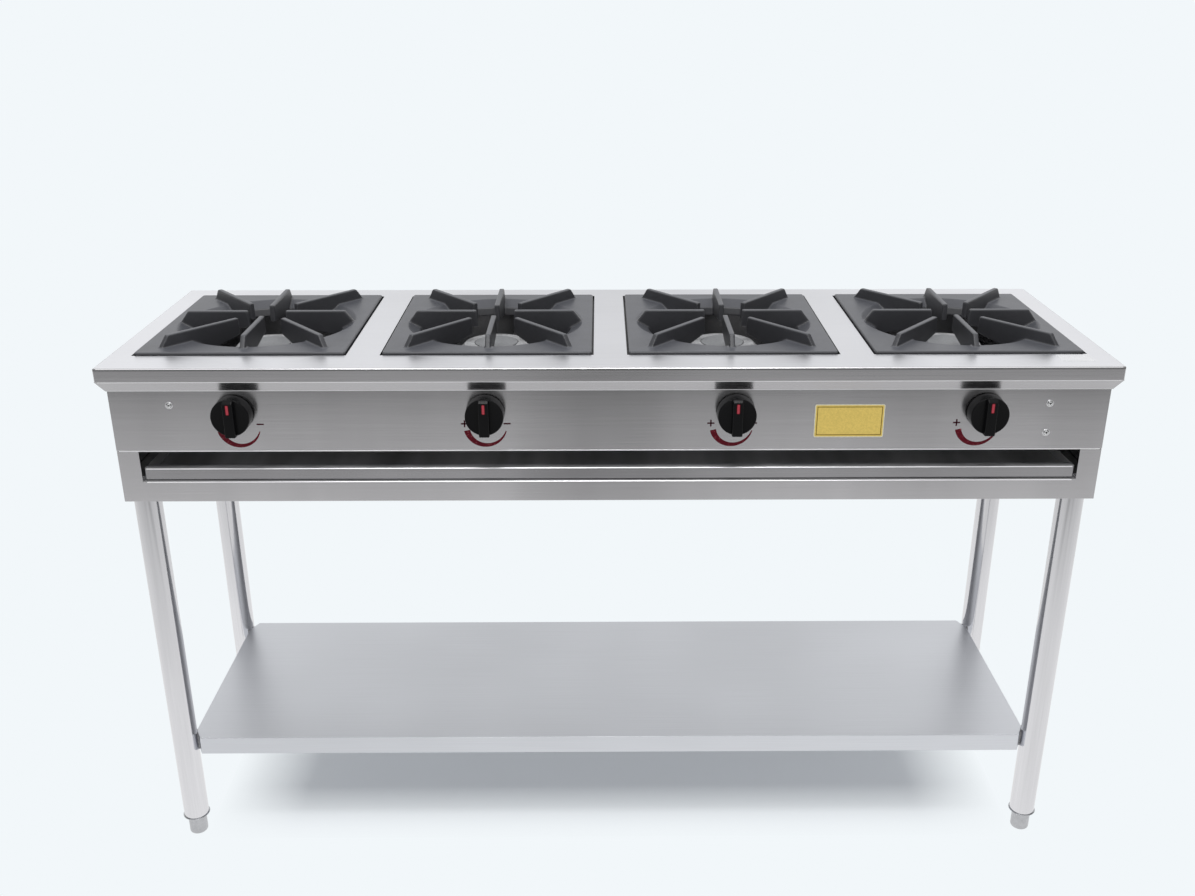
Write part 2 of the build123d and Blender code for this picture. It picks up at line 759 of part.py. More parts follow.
def grate(x):
    """A cast grate: a plate with a dished round hole, a skirt and eight fingers."""
    low = grate_rise - grate_thickness
    rim = dish_radius + skirt_wall
    plan = RectangleRounded(grate_width, grate_depth, grate_corner)
    plate = extrude(Pos(0, 0, low) * plan, grate_thickness)
    plate = chamfer(plate.edges().group_by(Axis.Z)[-1], grate_edge)
    plate -= rod(rim - cut_past, (0, 0, low - cut_past), (0, 0, grate_rise + cut_past))
    outline = [(dish_radius, grate_rise), (hole_radius, grate_rise - dish_drop), (skirt_radius, -skirt_drop),
               (skirt_radius + skirt_wall, -skirt_drop), (hole_radius + skirt_wall, low - skirt_wall / 2),
               (rim, low), (rim, grate_rise)]
    body = plate + turned(outline)
    for angle in (0, 180):
        body += grate_finger(finger_inner, side_finger_reach, angle)
    for angle in (90, 270):
        body += grate_finger(finger_inner, front_finger_reach, angle)
    for half_turn in (0, 180):
        for angle in (corner_finger_angle, -corner_finger_angle):
            body += grate_finger(corner_finger_inner, corner_finger_reach, half_turn + angle)
    return Pos(x, grate_center_y, worktop_height) * body


def group(solids):
    """Several separate solids that share one node."""
    return Compound(label="group", children=list(solids))


parts = {
    "worktop": worktop(),
    "control_panel": control_panel(),
    "tray_frame": tray_frame(),
    "side_panel_left": side_panel(-1),
    "side_panel_right": side_panel(1),
    "back_panel": back_panel(),
    "burner_rail_front": burner_rail(burner_foot_ys()[0]),
    "burner_rail_back": burner_rail(burner_foot_ys()[1]),
    "tray_runner_left": tray_runner(-1),
    "tray_runner_right": tray_runner(1),
    "drip_tray": drip_tray(),
    "shelf": shelf(),
    "shelf_brace": shelf_brace(),
    "leg_sockets": group(leg_socket(x, y) for x, y in legs.values()),
    "foot_bushes": group(foot_bush(x, y) for x, y in legs.values()),
    "gas_manifold": gas_manifold(),
    "gas_inlet": gas_inlet(),
    "manifold_brackets": group(manifold_bracket(side) for side in (-1, 1)),
    "panel_screws": group(panel_screw(x, z) for x, z in panel_screw_places()),
    "burner_screws": group(burner_screw(x, y) for x in burner_xs for y in burner_foot_ys()),
    "injectors": group(injector(x) for x in burner_xs),
}
for place, (leg_x, leg_y) in legs.items():
    parts["leg_" + place] = leg(leg_x, leg_y)
    parts["foot_" + place] = foot(leg_x, leg_y)
for number, burner_x in enumerate(burner_xs, start=1):
    parts[f"tap_body_{number}"] = tap_body(burner_x)
    parts[f"tap_plug_{number}"] = tap_plug(burner_x)
    parts[f"tap_spindle_{number}"] = tap_spindle(burner_x)
    parts[f"knob_{number}"] = knob(burner_x)
    parts[f"burner_{number}"] = burner(burner_x)
    parts[f"burner_cap_{number}"] = burner_cap(burner_x)
    parts[f"grate_{number}"] = grate(burner_x)

os.makedirs("parts", exist_ok=True)
for name, part in parts.items():
    export_step(part, f"parts/{name}.step")
print(len(parts), "parts written")
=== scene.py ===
"""Looks for a floor-standing gas cooktop, laid out as a Blender add-on and run as a script."""

import math

import bmesh
import bpy
from mathutils import Matrix, Vector


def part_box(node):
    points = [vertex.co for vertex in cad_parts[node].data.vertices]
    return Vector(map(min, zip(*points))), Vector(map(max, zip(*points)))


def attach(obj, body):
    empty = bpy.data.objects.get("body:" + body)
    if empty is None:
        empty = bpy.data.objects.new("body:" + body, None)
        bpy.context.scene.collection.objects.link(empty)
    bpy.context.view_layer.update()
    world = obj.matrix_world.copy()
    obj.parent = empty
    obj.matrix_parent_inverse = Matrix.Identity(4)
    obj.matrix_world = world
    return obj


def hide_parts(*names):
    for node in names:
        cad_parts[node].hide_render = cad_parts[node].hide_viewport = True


bl_info = {
    "name": "Gas cooktop looks",
    "version": (1, 0, 0),
    "blender": (4, 5, 0),
    "location": "View3D > Sidebar > Cooktop",
    "description": "Finishes and small pieces for a gas cooktop built around its solid model",
    "category": "Object",
}

MM = 0.001
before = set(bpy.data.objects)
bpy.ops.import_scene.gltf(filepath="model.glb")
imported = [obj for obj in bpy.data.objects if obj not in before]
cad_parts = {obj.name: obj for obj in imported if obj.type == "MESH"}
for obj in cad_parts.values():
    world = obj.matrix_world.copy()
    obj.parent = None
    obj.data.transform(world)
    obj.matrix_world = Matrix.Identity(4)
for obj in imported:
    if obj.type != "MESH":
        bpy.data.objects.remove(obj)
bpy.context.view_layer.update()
BURNERS = (1, 2, 3, 4)
CORNERS = ("front_left", "front_right", "back_left", "back_right")


def box_of(node):
    """Lowest and highest corners of a node of the solid model."""
    low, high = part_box(node)
    return Vector(low), Vector(high)


def middle_of(node):
    """The middle of a node's box."""
    low, high = box_of(node)
    return (low + high) / 2


class SteelLook(bpy.types.PropertyGroup):
    """Colours and folds of the sheets and tubes"""
    top_color: bpy.props.FloatVectorProperty(
        name="Worktop", description="Colour of the pressed top", subtype="COLOR",
        default=(0.935, 0.945, 0.985))
    front_color: bpy.props.FloatVectorProperty(
        name="Front", description="Colour of the front panels", subtype="COLOR",
        default=(0.66, 0.655, 0.67))
    shelf_color: bpy.props.FloatVectorProperty(
        name="Shelf", description="Colour of the lower shelf", subtype="COLOR",
        default=(0.74, 0.76, 0.80))
    tube_color: bpy.props.FloatVectorProperty(
        name="Legs", description="Colour of the tube legs", subtype="COLOR",
        default=(0.82, 0.82, 0.845))
    lip_height: bpy.props.FloatProperty(
        name="Lip height", description="Height of the worktop's upright lip", subtype="DISTANCE",
        default=19.0 * MM)
    lip_inset: bpy.props.FloatProperty(
        name="Lip inset", description="How far the return slants in", subtype="DISTANCE",
        default=9.5 * MM)
    edge_round: bpy.props.FloatProperty(
        name="Edge", description="Rounding of cut sheet edges", subtype="DISTANCE",
        default=0.4 * MM, min=0.0)


class KnobLook(bpy.types.PropertyGroup):
    """Colours and sizes of the knobs and their pointers"""
    color: bpy.props.FloatVectorProperty(
        name="Plastic", description="Colour of the knobs", subtype="COLOR",
        default=(0.004, 0.004, 0.0045))
    line_color: bpy.props.FloatVectorProperty(
        name="Pointer", description="Colour of the pointer line", subtype="COLOR",
        default=(0.42, 0.045, 0.065))
    skirt_depth: bpy.props.FloatProperty(
        name="Skirt depth", description="Depth of the round skirt", subtype="DISTANCE",
        default=19.5 * MM)
    front_radius: bpy.props.FloatProperty(
        name="Front radius", description="Radius at the skirt's front", subtype="DISTANCE",
        default=26.2 * MM)
    grip_width: bpy.props.FloatProperty(
        name="Grip width", description="Width of the grip bar", subtype="DISTANCE",
        default=15.5 * MM)
    grip_chamfer: bpy.props.FloatProperty(
        name="Grip chamfer", description="Chamfer over the pointer", subtype="DISTANCE",
        default=4.5 * MM)
    line_width: bpy.props.FloatProperty(
        name="Line width", description="Width of the pointer line", subtype="DISTANCE",
        default=3.2 * MM)
    line_length: bpy.props.FloatProperty(
        name="Line length", description="Length of the pointer line", subtype="DISTANCE",
        default=12.8 * MM)


class MarkLook(bpy.types.PropertyGroup):
    """Colours and sizes of the printed dials and the blank plate"""
    arc_color: bpy.props.FloatVectorProperty(
        name="Arc", description="Colour of the printed flame arc", subtype="COLOR",
        default=(0.105, 0.002, 0.010))
    sign_color: bpy.props.FloatVectorProperty(
        name="Signs", description="Colour of the plus and minus", subtype="COLOR",
        default=(0.045, 0.003, 0.010))
    arc_radius: bpy.props.FloatProperty(
        name="Arc radius", description="Outer radius of the arc", subtype="DISTANCE",
        default=30.3 * MM)
    arc_drop: bpy.props.FloatProperty(
        name="Arc drop", description="Arc centre below the knob's axis", subtype="DISTANCE",
        default=21.2 * MM)
    thick_end: bpy.props.FloatProperty(
        name="Thick end", description="Band width at the plus end", subtype="DISTANCE",
        default=8.8 * MM)
    thin_end: bpy.props.FloatProperty(
        name="Thin end", description="Band width at the minus end", subtype="DISTANCE",
        default=1.2 * MM)
    print_pitch: bpy.props.FloatProperty(
        name="Print pitch", description="Distance between the printed dials", subtype="DISTANCE",
        default=341.5 * MM)
    print_shift: bpy.props.FloatProperty(
        name="Print shift", description="Row of dials to the right of the middle", subtype="DISTANCE",
        default=-3.2 * MM)
    plate_color: bpy.props.FloatVectorProperty(
        name="Plate", description="Colour of the blank plate", subtype="COLOR",
        default=(0.72, 0.53, 0.14))
    plate_width: bpy.props.FloatProperty(
        name="Plate width", description="Width of the blank plate", subtype="DISTANCE",
        default=97.0 * MM)
    plate_height: bpy.props.FloatProperty(
        name="Plate height", description="Height of the blank plate", subtype="DISTANCE",
        default=48.5 * MM)


class GrateLook(bpy.types.PropertyGroup):
    """Colours and grain of the castings"""
    color: bpy.props.FloatVectorProperty(
        name="Enamel", description="Colour of the cast grates", subtype="COLOR",
        default=(0.044, 0.045, 0.051))
    worn_color: bpy.props.FloatVectorProperty(
        name="Worn edge", description="Colour of the rubbed edges", subtype="COLOR",
        default=(0.075, 0.078, 0.085))
    # Painted sheen: a lighter colour on the grates' upward faces.
    sheen_color: bpy.props.FloatVectorProperty(
        name="Sheen", description="Colour of the upward faces", subtype="COLOR",
        default=(0.106, 0.110, 0.126))
    disc_radius: bpy.props.FloatProperty(
        name="Cap disc", description="Radius of the darker disc on a burner cap", subtype="DISTANCE",
        default=33.0 * MM)
    grain: bpy.props.FloatProperty(
        name="Cast grain", description="Cell size of the remeshed casting", subtype="DISTANCE",
        default=1.5 * MM)


class StageLook(bpy.types.PropertyGroup):
    """The backdrop and the camera's lens"""
    backdrop: bpy.props.FloatVectorProperty(
        name="Backdrop", description="Colour behind the object", subtype="COLOR",
        default=(0.888, 0.930, 0.956))
    lens: bpy.props.FloatProperty(
        name="Lens", description="Focal length of the camera", subtype="DISTANCE_CAMERA",
        default=36.135)


def looks():
    """The panel's settings."""
    return bpy.context.scene.cooktop


def new_material(name):
    """An empty node material, its tree and its shader."""
    material = bpy.data.materials.new(name)
    material.use_nodes = True
    tree = material.node_tree
    return material, tree, tree.nodes["Principled BSDF"]


def link(tree, source, target):
    """Joins an output of a node to an input."""
    tree.links.new(source, target)


def add_node(tree, kind, **values):
    """A shader node with some of its settings and inputs filled in."""
    made = tree.nodes.new("ShaderNode" + kind)
    for key, value in values.items():
        if key in made.inputs:
            made.inputs[key].default_value = value
        else:
            setattr(made, key, value)
    return made


def position(tree, coordinates="Object"):
    """The X, Y and Z of the shaded point, each as an output."""
    place = add_node(tree, "TexCoord")
    split = add_node(tree, "SeparateXYZ")
    link(tree, place.outputs[coordinates], split.inputs["Vector"])
    return split.outputs


def noise(tree, scale, detail, stretch=(1, 1, 1)):
    """A noise pattern on Object coordinates, stretched by the given factors."""
    place = add_node(tree, "TexCoord")
    mapping = add_node(tree, "Mapping")
    mapping.inputs["Scale"].default_value = stretch
    pattern = add_node(tree, "TexNoise", Scale=scale, Detail=detail, Roughness=0.6)
    link(tree, place.outputs["Object"], mapping.inputs["Vector"])
    link(tree, mapping.outputs["Vector"], pattern.inputs["Vector"])
    return pattern.outputs["Fac"]


def spread(tree, source, low, high):
    """Maps a value between two limits to 0..1."""
    made = add_node(tree, "MapRange")
    made.inputs["From Min"].default_value = low
    made.inputs["From Max"].default_value = high
    link(tree, source, made.inputs["Value"])
    return made.outputs["Result"]


def ramp(tree, source, stops):
    """A grey that follows a value from 0 to 1, given as (value, grey) stops."""
    made = add_node(tree, "ValToRGB")
    band = made.color_ramp
    while len(band.elements) < len(stops):
        band.elements.new(0.5)
    for element, (value, grey) in zip(band.elements, stops):
        element.position = value
        element.color = (grey, grey, grey, 1)
    link(tree, source, made.inputs["Fac"])
    return made.outputs["Color"]


def mixed(tree, factor, first, second, mode="MIX"):
    """A mix of two colours, greys or outputs."""
    made = add_node(tree, "MixRGB", blend_type=mode)
    for socket, value in zip(("Fac", "Color1", "Color2"), (factor, first, second)):
        if isinstance(value, bpy.types.NodeSocket):
            link(tree, value, made.inputs[socket])
        elif isinstance(value, (int, float)):
            made.inputs[socket].default_value = value if socket == "Fac" else (value, value, value, 1)
        else:
            made.inputs[socket].default_value = (*value, 1)
    return made.outputs["Color"]


def multiplied(tree, first, second):
    """The product of two colours or outputs."""
    return mixed(tree, 1.0, first, second, "MULTIPLY")


def grain_bump(tree, shader, source, strength, distance):
    """A fine relief on the shader that follows a pattern."""
    bump = add_node(tree, "Bump", Strength=strength, Distance=distance)
    link(tree, source, bump.inputs["Height"])
    link(tree, bump.outputs["Normal"], shader.inputs["Normal"])


def brushed_steel(name, color, roughness, grain=(6.0, 900.0, 900.0), depth=0.05, brush=0.0,
                  cloud=(2.2, 2.2, 2.2), tone_range=0.08, bands=None, metallic=1.0):
    """Brushed stainless: fine scratches along one axis and slow changes of tone."""
    material, tree, shader = new_material(name)
    scratches = noise(tree, scale=1.0, detail=6.0, stretch=grain)
    slow = noise(tree, scale=1.0, detail=2.0, stretch=cloud)
    # Bands darken the colour over a node's height: painted shade.
    if bands:
        low, high, stops = bands
        color = multiplied(tree, color, ramp(tree, spread(tree, position(tree)["Z"], low, high), stops))
    tone = ramp(tree, scratches, ((0.3, 0.93), (0.7, 1.0)))
    patch = ramp(tree, slow, ((0.35, 1.0 - tone_range), (0.65, 1.0)))
    shaded = multiplied(tree, multiplied(tree, color, tone), patch)
    link(tree, shaded, shader.inputs["Base Color"])
    rough = add_node(tree, "MapRange")
    rough.inputs["To Min"].default_value = roughness * 0.82
    rough.inputs["To Max"].default_value = roughness * 1.25
    link(tree, scratches, rough.inputs["Value"])
    link(tree, rough.outputs["Result"], shader.inputs["Roughness"])
    grain_bump(tree, shader, scratches, strength=depth, distance=0.4 * MM)
    shader.inputs["Metallic"].default_value = metallic
    shader.inputs["Anisotropic"].default_value = brush
    shader.inputs["Anisotropic Rotation"].default_value = 0.25
    return material


def plain_metal(name, color, roughness, metallic=1.0, scale=120.0, tone_range=0.15):
    """Zinc, brass or steel with a mottled tone and a slight grain."""
    material, tree, shader = new_material(name)
    cloud = noise(tree, scale, detail=5.0)
    tone = ramp(tree, cloud, ((0.3, 1.0 - tone_range), (0.7, 1.0)))
    link(tree, multiplied(tree, color, tone), shader.inputs["Base Color"])
    grain_bump(tree, shader, cloud, strength=0.08, distance=0.3 * MM)
    shader.inputs["Metallic"].default_value = metallic
    shader.inputs["Roughness"].default_value = roughness
    return material


def cast_surface(name, color, worn, roughness, scale, depth, glint=1.5, painted_sheen=None, speckle=0.9):
    """Cast iron or alloy: a pitted skin, a mottled tone, rubbed edges, and a lighter colour on what lies
    flat as a painted sheen.
    """
    material, tree, shader = new_material(name)
    pits = noise(tree, scale, detail=5.0)
    cloud = noise(tree, scale=35.0, detail=3.0)
    blotch = ramp(tree, cloud, ((0.3, 0.86), (0.7, 1.0)))
    specks = ramp(tree, pits, ((0.38, speckle), (0.62, 1.0)))
    tone = multiplied(tree, blotch, specks)
    base = multiplied(tree, color, tone)
    surface = add_node(tree, "NewGeometry")
    # A lighter colour on the upward faces: a painted sheen.
    if painted_sheen:
        facing = add_node(tree, "SeparateXYZ")
        link(tree, surface.outputs["Normal"], facing.inputs["Vector"])
        lying = ramp(tree, facing.outputs["Z"], ((0.55, 0.0), (0.95, 1.0)))
        base = mixed(tree, lying, base, multiplied(tree, painted_sheen, tone))
    rub = ramp(tree, surface.outputs["Pointiness"], ((0.515, 0.0), (0.60, 1.0)))
    link(tree, mixed(tree, rub, base, worn), shader.inputs["Base Color"])
    grain_bump(tree, shader, pits, strength=depth, distance=0.4 * MM)
    shader.inputs["Roughness"].default_value = roughness
    shader.inputs["IOR"].default_value = glint
    return material


def plastic(name, color, roughness, shine):
    """Moulded plastic with a faint skin texture."""
    material, tree, shader = new_material(name)
    skin = noise(tree, scale=900.0, detail=3.0)
    tone = ramp(tree, skin, ((0.35, 0.85), (0.65, 1.0)))
    link(tree, multiplied(tree, color, tone), shader.inputs["Base Color"])
    grain_bump(tree, shader, skin, strength=0.06, distance=0.2 * MM)
    shader.inputs["Roughness"].default_value = roughness
    shader.inputs["Specular IOR Level"].default_value = shine
    return material


def printed_ink(name, color, roughness=0.45, specks=None):
    """Flat ink, paint or paper, slightly uneven, with rubbed specks where their colour is given."""
    material, tree, shader = new_material(name)
    cloud = noise(tree, scale=450.0, detail=3.0)
    base = multiplied(tree, color, ramp(tree, cloud, ((0.3, 0.82), (0.7, 1.0))))
    if specks:
        worn = ramp(tree, cloud, ((0.60, 0.0), (0.66, 1.0)))
        base = mixed(tree, worn, base, specks)
    link(tree, base, shader.inputs["Base Color"])
    shader.inputs["Roughness"].default_value = roughness
    shader.inputs["Specular IOR Level"].default_value = 0.12
    return material


def bands_over(node, stops):
    """Tones over the height of a node, from its bottom at 0 to its top at 1."""
    low, high = box_of(node)
    return low.z, high.z, stops


def lip_painted_shade():
    """Painted shade over the worktop's edge: darker on the slanted return, lightest on the upright lip,
    and much darker at the top bend.
    """
    return bands_over("worktop", ((0.0, 0.78), (0.44, 0.78), (0.46, 1.0), (0.89, 0.92), (0.92, 0.5),
                                  (0.96, 0.5)))


def panel_painted_shade():
    """Painted shade on the panels: darker towards the top, under the worktop's edge, and plain steel
    below.
    """
    return bands_over("control_panel", ((0.0, 1.0), (0.35, 0.97), (0.6, 0.87), (0.78, 0.72), (0.9, 0.62)))


def leg_painted_shade():
    """Tones of the legs: painted shade, darker towards the body."""
    return bands_over("leg_front_left", ((0.0, 1.0), (0.35, 0.97), (0.75, 0.86), (1.0, 0.74)))


MAKERS = {
    "worktop_steel": lambda name: brushed_steel(name, looks().steel.top_color, roughness=0.30),
    # The lip's steel is darkened in bands over its height: painted shade.
    "lip_steel": lambda name: brushed_steel(
        name, looks().steel.front_color, roughness=0.22, brush=0.8, bands=lip_painted_shade()),
    # Painted shade: dark steel in the grates' recesses.
    "recess_painted_shade": lambda name: plain_metal(name, (0.10, 0.10, 0.105), roughness=0.45, tone_range=0.4),
    # Painted highlight: near-white steel for the bright creases and screw rims.
    "fold_steel": lambda name: plain_metal(
        name, (0.95, 0.95, 0.97), roughness=0.34, scale=15.0, tone_range=0.1),
    # The panels darken towards the top: painted shade.
    "panel_steel": lambda name: brushed_steel(
        name, looks().steel.front_color, roughness=0.21, brush=0.8, cloud=(9.0, 9.0, 1.2),
        tone_range=0.09, bands=panel_painted_shade()),
    "tray_steel": lambda name: brushed_steel(
        name, (0.47, 0.465, 0.48), roughness=0.20, brush=0.8, cloud=(5.0, 5.0, 1.2), tone_range=0.12),
    "tray_inside": lambda name: brushed_steel(
        name, (0.50, 0.50, 0.515), roughness=0.22, cloud=(13.0, 0.3, 0.3), tone_range=0.35, metallic=0.35),
    "inner_steel": lambda name: brushed_steel(name, (0.42, 0.42, 0.43), roughness=0.34, metallic=0.45),
    "shelf_steel": lambda name: brushed_steel(name, looks().steel.shelf_color, roughness=0.36),
    # The legs darken towards the body: painted shade.
    "tube_steel": lambda name: brushed_steel(
        name, looks().steel.tube_color, roughness=0.13, grain=(500.0, 500.0, 8.0), depth=0.03,
        cloud=(30.0, 30.0, 2.0), bands=leg_painted_shade()),
    "foot_steel": lambda name: plain_metal(name, (0.55, 0.56, 0.58), roughness=0.32),
    "weld_steel": lambda name: plain_metal(
        name, (0.42, 0.42, 0.43), roughness=0.45, scale=500.0, tone_range=0.5),
    "zinc_steel": lambda name: plain_metal(
        name, (0.38, 0.385, 0.39), roughness=0.42, metallic=0.5, scale=60.0, tone_range=0.25),
    "pipe_steel": lambda name: plain_metal(
        name, (0.40, 0.41, 0.43), roughness=0.38, scale=90.0, tone_range=0.2),
    "screw_steel": lambda name: plain_metal(name, (0.85, 0.86, 0.87), roughness=0.25, scale=400.0),
    # Painted shade: a near-black floor in the screw sockets.
    "socket_painted_shade": lambda name: plain_metal(name, (0.02, 0.02, 0.02), roughness=0.6),
    "brass": lambda name: plain_metal(name, (0.62, 0.44, 0.17), roughness=0.30, scale=200.0),
    "knob_plastic": lambda name: plastic(name, looks().knob.color, roughness=0.25, shine=0.16),
    "pointer_paint": lambda name: plastic(name, looks().knob.line_color, roughness=0.4, shine=0.2),
    "pointer_edge": lambda name: plastic(name, (0.10, 0.004, 0.008), roughness=0.4, shine=0.1),
    "burner_iron": lambda name: cast_surface(
        name, (0.16, 0.162, 0.168), worn=(0.24, 0.24, 0.245), roughness=0.62, scale=500.0, depth=0.5),
    "burner_alloy": lambda name: cast_surface(
        name, (0.50, 0.505, 0.52), worn=(0.60, 0.61, 0.63), roughness=0.55, scale=300.0, depth=1.0,
        speckle=0.5),
    "disc_alloy": lambda name: cast_surface(
        name, (0.24, 0.245, 0.255), worn=(0.36, 0.37, 0.39), roughness=0.50, scale=300.0, depth=0.9,
        speckle=0.6),
    "grate_iron": lambda name: cast_surface(
        name, looks().grate.color, worn=looks().grate.worn_color, roughness=0.40, scale=650.0,
        depth=0.22, glint=1.6, painted_sheen=looks().grate.sheen_color),
    "arc_ink": lambda name: printed_ink(name, looks().mark.arc_color, specks=(0.24, 0.06, 0.07)),
    "sign_ink": lambda name: printed_ink(name, looks().mark.sign_color),
    "plate_face": lambda name: printed_ink(name, looks().mark.plate_color, roughness=0.35),
    "plate_edge": lambda name: printed_ink(name, (0.70, 0.66, 0.50), roughness=0.4),
    "plate_border": lambda name: printed_ink(name, (0.16, 0.10, 0.015), roughness=0.4),
    "sticker_paper": lambda name: printed_ink(name, (0.80, 0.81, 0.83), roughness=0.4),
}


def finish(name):
    """The finish of that name, made on first use; its label keeps it apart from plain materials that carry
    the slots' names.
    """
    label = name + "_finish"
    return bpy.data.materials.get(label) or MAKERS[name](label)


def finish_piece(mesh, finishes, body, node=None, smooth=35.0, bevel=0.0, zones=()):
    """Links a mesh as a piece: its finishes by zone, its rounded edges, its body and its node."""
    piece = bpy.data.objects.new(mesh.name, mesh)
    bpy.context.collection.objects.link(piece)
    mesh.materials.clear()
    for used in finishes if isinstance(finishes, tuple) else (finishes,):
        mesh.materials.append(finish(used))
    for face in mesh.polygons:
        inside = (i for i, zone in enumerate(zones, 1) if zone(face.center, face.normal))
        face.material_index = next(inside, 0)
    mesh.shade_smooth()
    if bevel:
        rounding = piece.modifiers.new("edge_rounding", "BEVEL")
        rounding.width = bevel
        rounding.segments = 2
        rounding.limit_method = "ANGLE"
        rounding.angle_limit = math.radians(smooth)
        rounding.harden_normals = False
    else:
        mesh.set_sharp_from_angle(angle=math.radians(smooth))
    weighting = piece.modifiers.new("even_shading", "WEIGHTED_NORMAL")
    weighting.keep_sharp = True
    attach(piece, body)
    if node:
        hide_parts(node)


def mesh_from(bm, name):
    """Turns a bmesh into a mesh with its doubles merged and faces outwards."""
    bmesh.ops.remove_doubles(bm, verts=bm.verts, dist=0.001 * MM)
    bmesh.ops.recalc_face_normals(bm, faces=bm.faces)
    mesh = bpy.data.meshes.new(name)
    bm.to_mesh(mesh)
    bm.free()
    return mesh


def merged_copy(node):
    """A bmesh of a node of the solid model, with its loose triangles joined."""
    bm = bmesh.new()
    bm.from_mesh(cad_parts[node].data)
    bmesh.ops.remove_doubles(bm, verts=bm.verts, dist=0.002 * MM)
    return bm


def smooth_copy(node, name, finishes, body, bevel, smooth=32.0, zones=()):
    """A merged copy of a node with rounded edges and smooth bends, in place of the node."""
    bm = merged_copy(node)
    bmesh.ops.dissolve_limit(bm, angle_limit=math.radians(0.5), verts=bm.verts, edges=bm.edges)
    mesh = bpy.data.meshes.new(name)
    bm.to_mesh(mesh)
    bm.free()
    finish_piece(mesh, finishes, body, node, smooth, bevel, zones)


def lathe(bm, profile, center, steps, axis=(0, 0, 1)):
    """Spins an open profile of (radius, height) points about an axis through center."""
    axis = Vector(axis)
    side = axis.orthogonal().normalized()
    center = Vector(center)
    verts = [bm.verts.new(center + side * r + axis * h) for r, h in profile]
    edges = [bm.edges.new(pair) for pair in zip(verts, verts[1:])]
    bmesh.ops.spin(bm, geom=verts + edges, cent=center, axis=axis, angle=math.tau, steps=steps,
                   use_merge=True)


def rounded_corner(radius, height, round_by):
    """Points of a quarter round on a lathe profile, from the side to the top."""
    steps = 4
    points = []
    for i in range(steps + 1):
        turn = math.pi / 2 * i / steps
        across = radius - round_by + round_by * math.cos(turn)
        points.append((across, height + round_by * (math.sin(turn) - 1)))
    return points


def add_slab(bm, low, high):
    """A closed rectangular slab between two corners."""
    verts = bmesh.ops.create_cube(bm, size=1.0)["verts"]
    low, high = Vector(low), Vector(high)
    bmesh.ops.scale(bm, verts=verts, vec=high - low)
    bmesh.ops.translate(bm, verts=verts, vec=(low + high) / 2)
    return verts


def cut_edges(bm, geom, offset, segments):
    """Rounds the given edges, or chamfers them where there is one segment."""
    return bmesh.ops.bevel(bm, geom=geom, offset=offset, offset_type="OFFSET", segments=segments,
                           profile=0.5, affect="EDGES", material=-1)


def edges_along(bm, axis):
    """The edges that run along x, y or z."""
    return [edge for edge in bm.edges
            if abs(getattr((edge.verts[0].co - edge.verts[1].co).normalized(), axis)) > 0.9]


def upright_sheet(bm, middle, half_width, half_height):
    """A flat rectangle that faces the front, round a middle."""
    verts = bmesh.ops.create_grid(bm, x_segments=1, y_segments=1, size=1.0)["verts"]
    bmesh.ops.scale(bm, verts=verts, vec=(half_width, half_height, 1))
    bmesh.ops.rotate(bm, verts=verts, cent=(0, 0, 0), matrix=Matrix.Rotation(math.pi / 2, 3, "X"))
    bmesh.ops.translate(bm, verts=verts, vec=middle)


def thicken_forward(bm, thick):
    """Gives flat faces that face the front a thickness towards it."""
    made = bmesh.ops.extrude_face_region(bm, geom=list(bm.faces))
    raised = [item for item in made["geom"] if isinstance(item, bmesh.types.BMVert)]
    bmesh.ops.translate(bm, verts=raised, vec=(0, -thick, 0))


def crease(bm, middle, out, length, turn, tilt):
    """A rounded line along a folded edge, out from the middle; its tilt is below 0 where it faces up."""
    height = 1.4 * MM
    depth = 0.8 * MM
    verts = add_slab(bm, (-length / 2, 0, -height / 2), (length / 2, depth, height / 2))
    edges = list({edge for vert in verts for edge in vert.link_edges})
    made = cut_edges(bm, verts + edges, offset=0.25 * MM, segments=2)
    line = list({vert for face in made["faces"] for vert in face.verts})
    bmesh.ops.rotate(bm, verts=line, cent=(0, 0, 0), matrix=Matrix.Rotation(math.radians(tilt), 3, "X"))
    bmesh.ops.translate(bm, verts=line, vec=(0, -out, 0))
    bmesh.ops.rotate(bm, verts=line, cent=(0, 0, 0), matrix=Matrix.Rotation(math.radians(turn), 3, "Z"))
    bmesh.ops.translate(bm, verts=line, vec=middle)


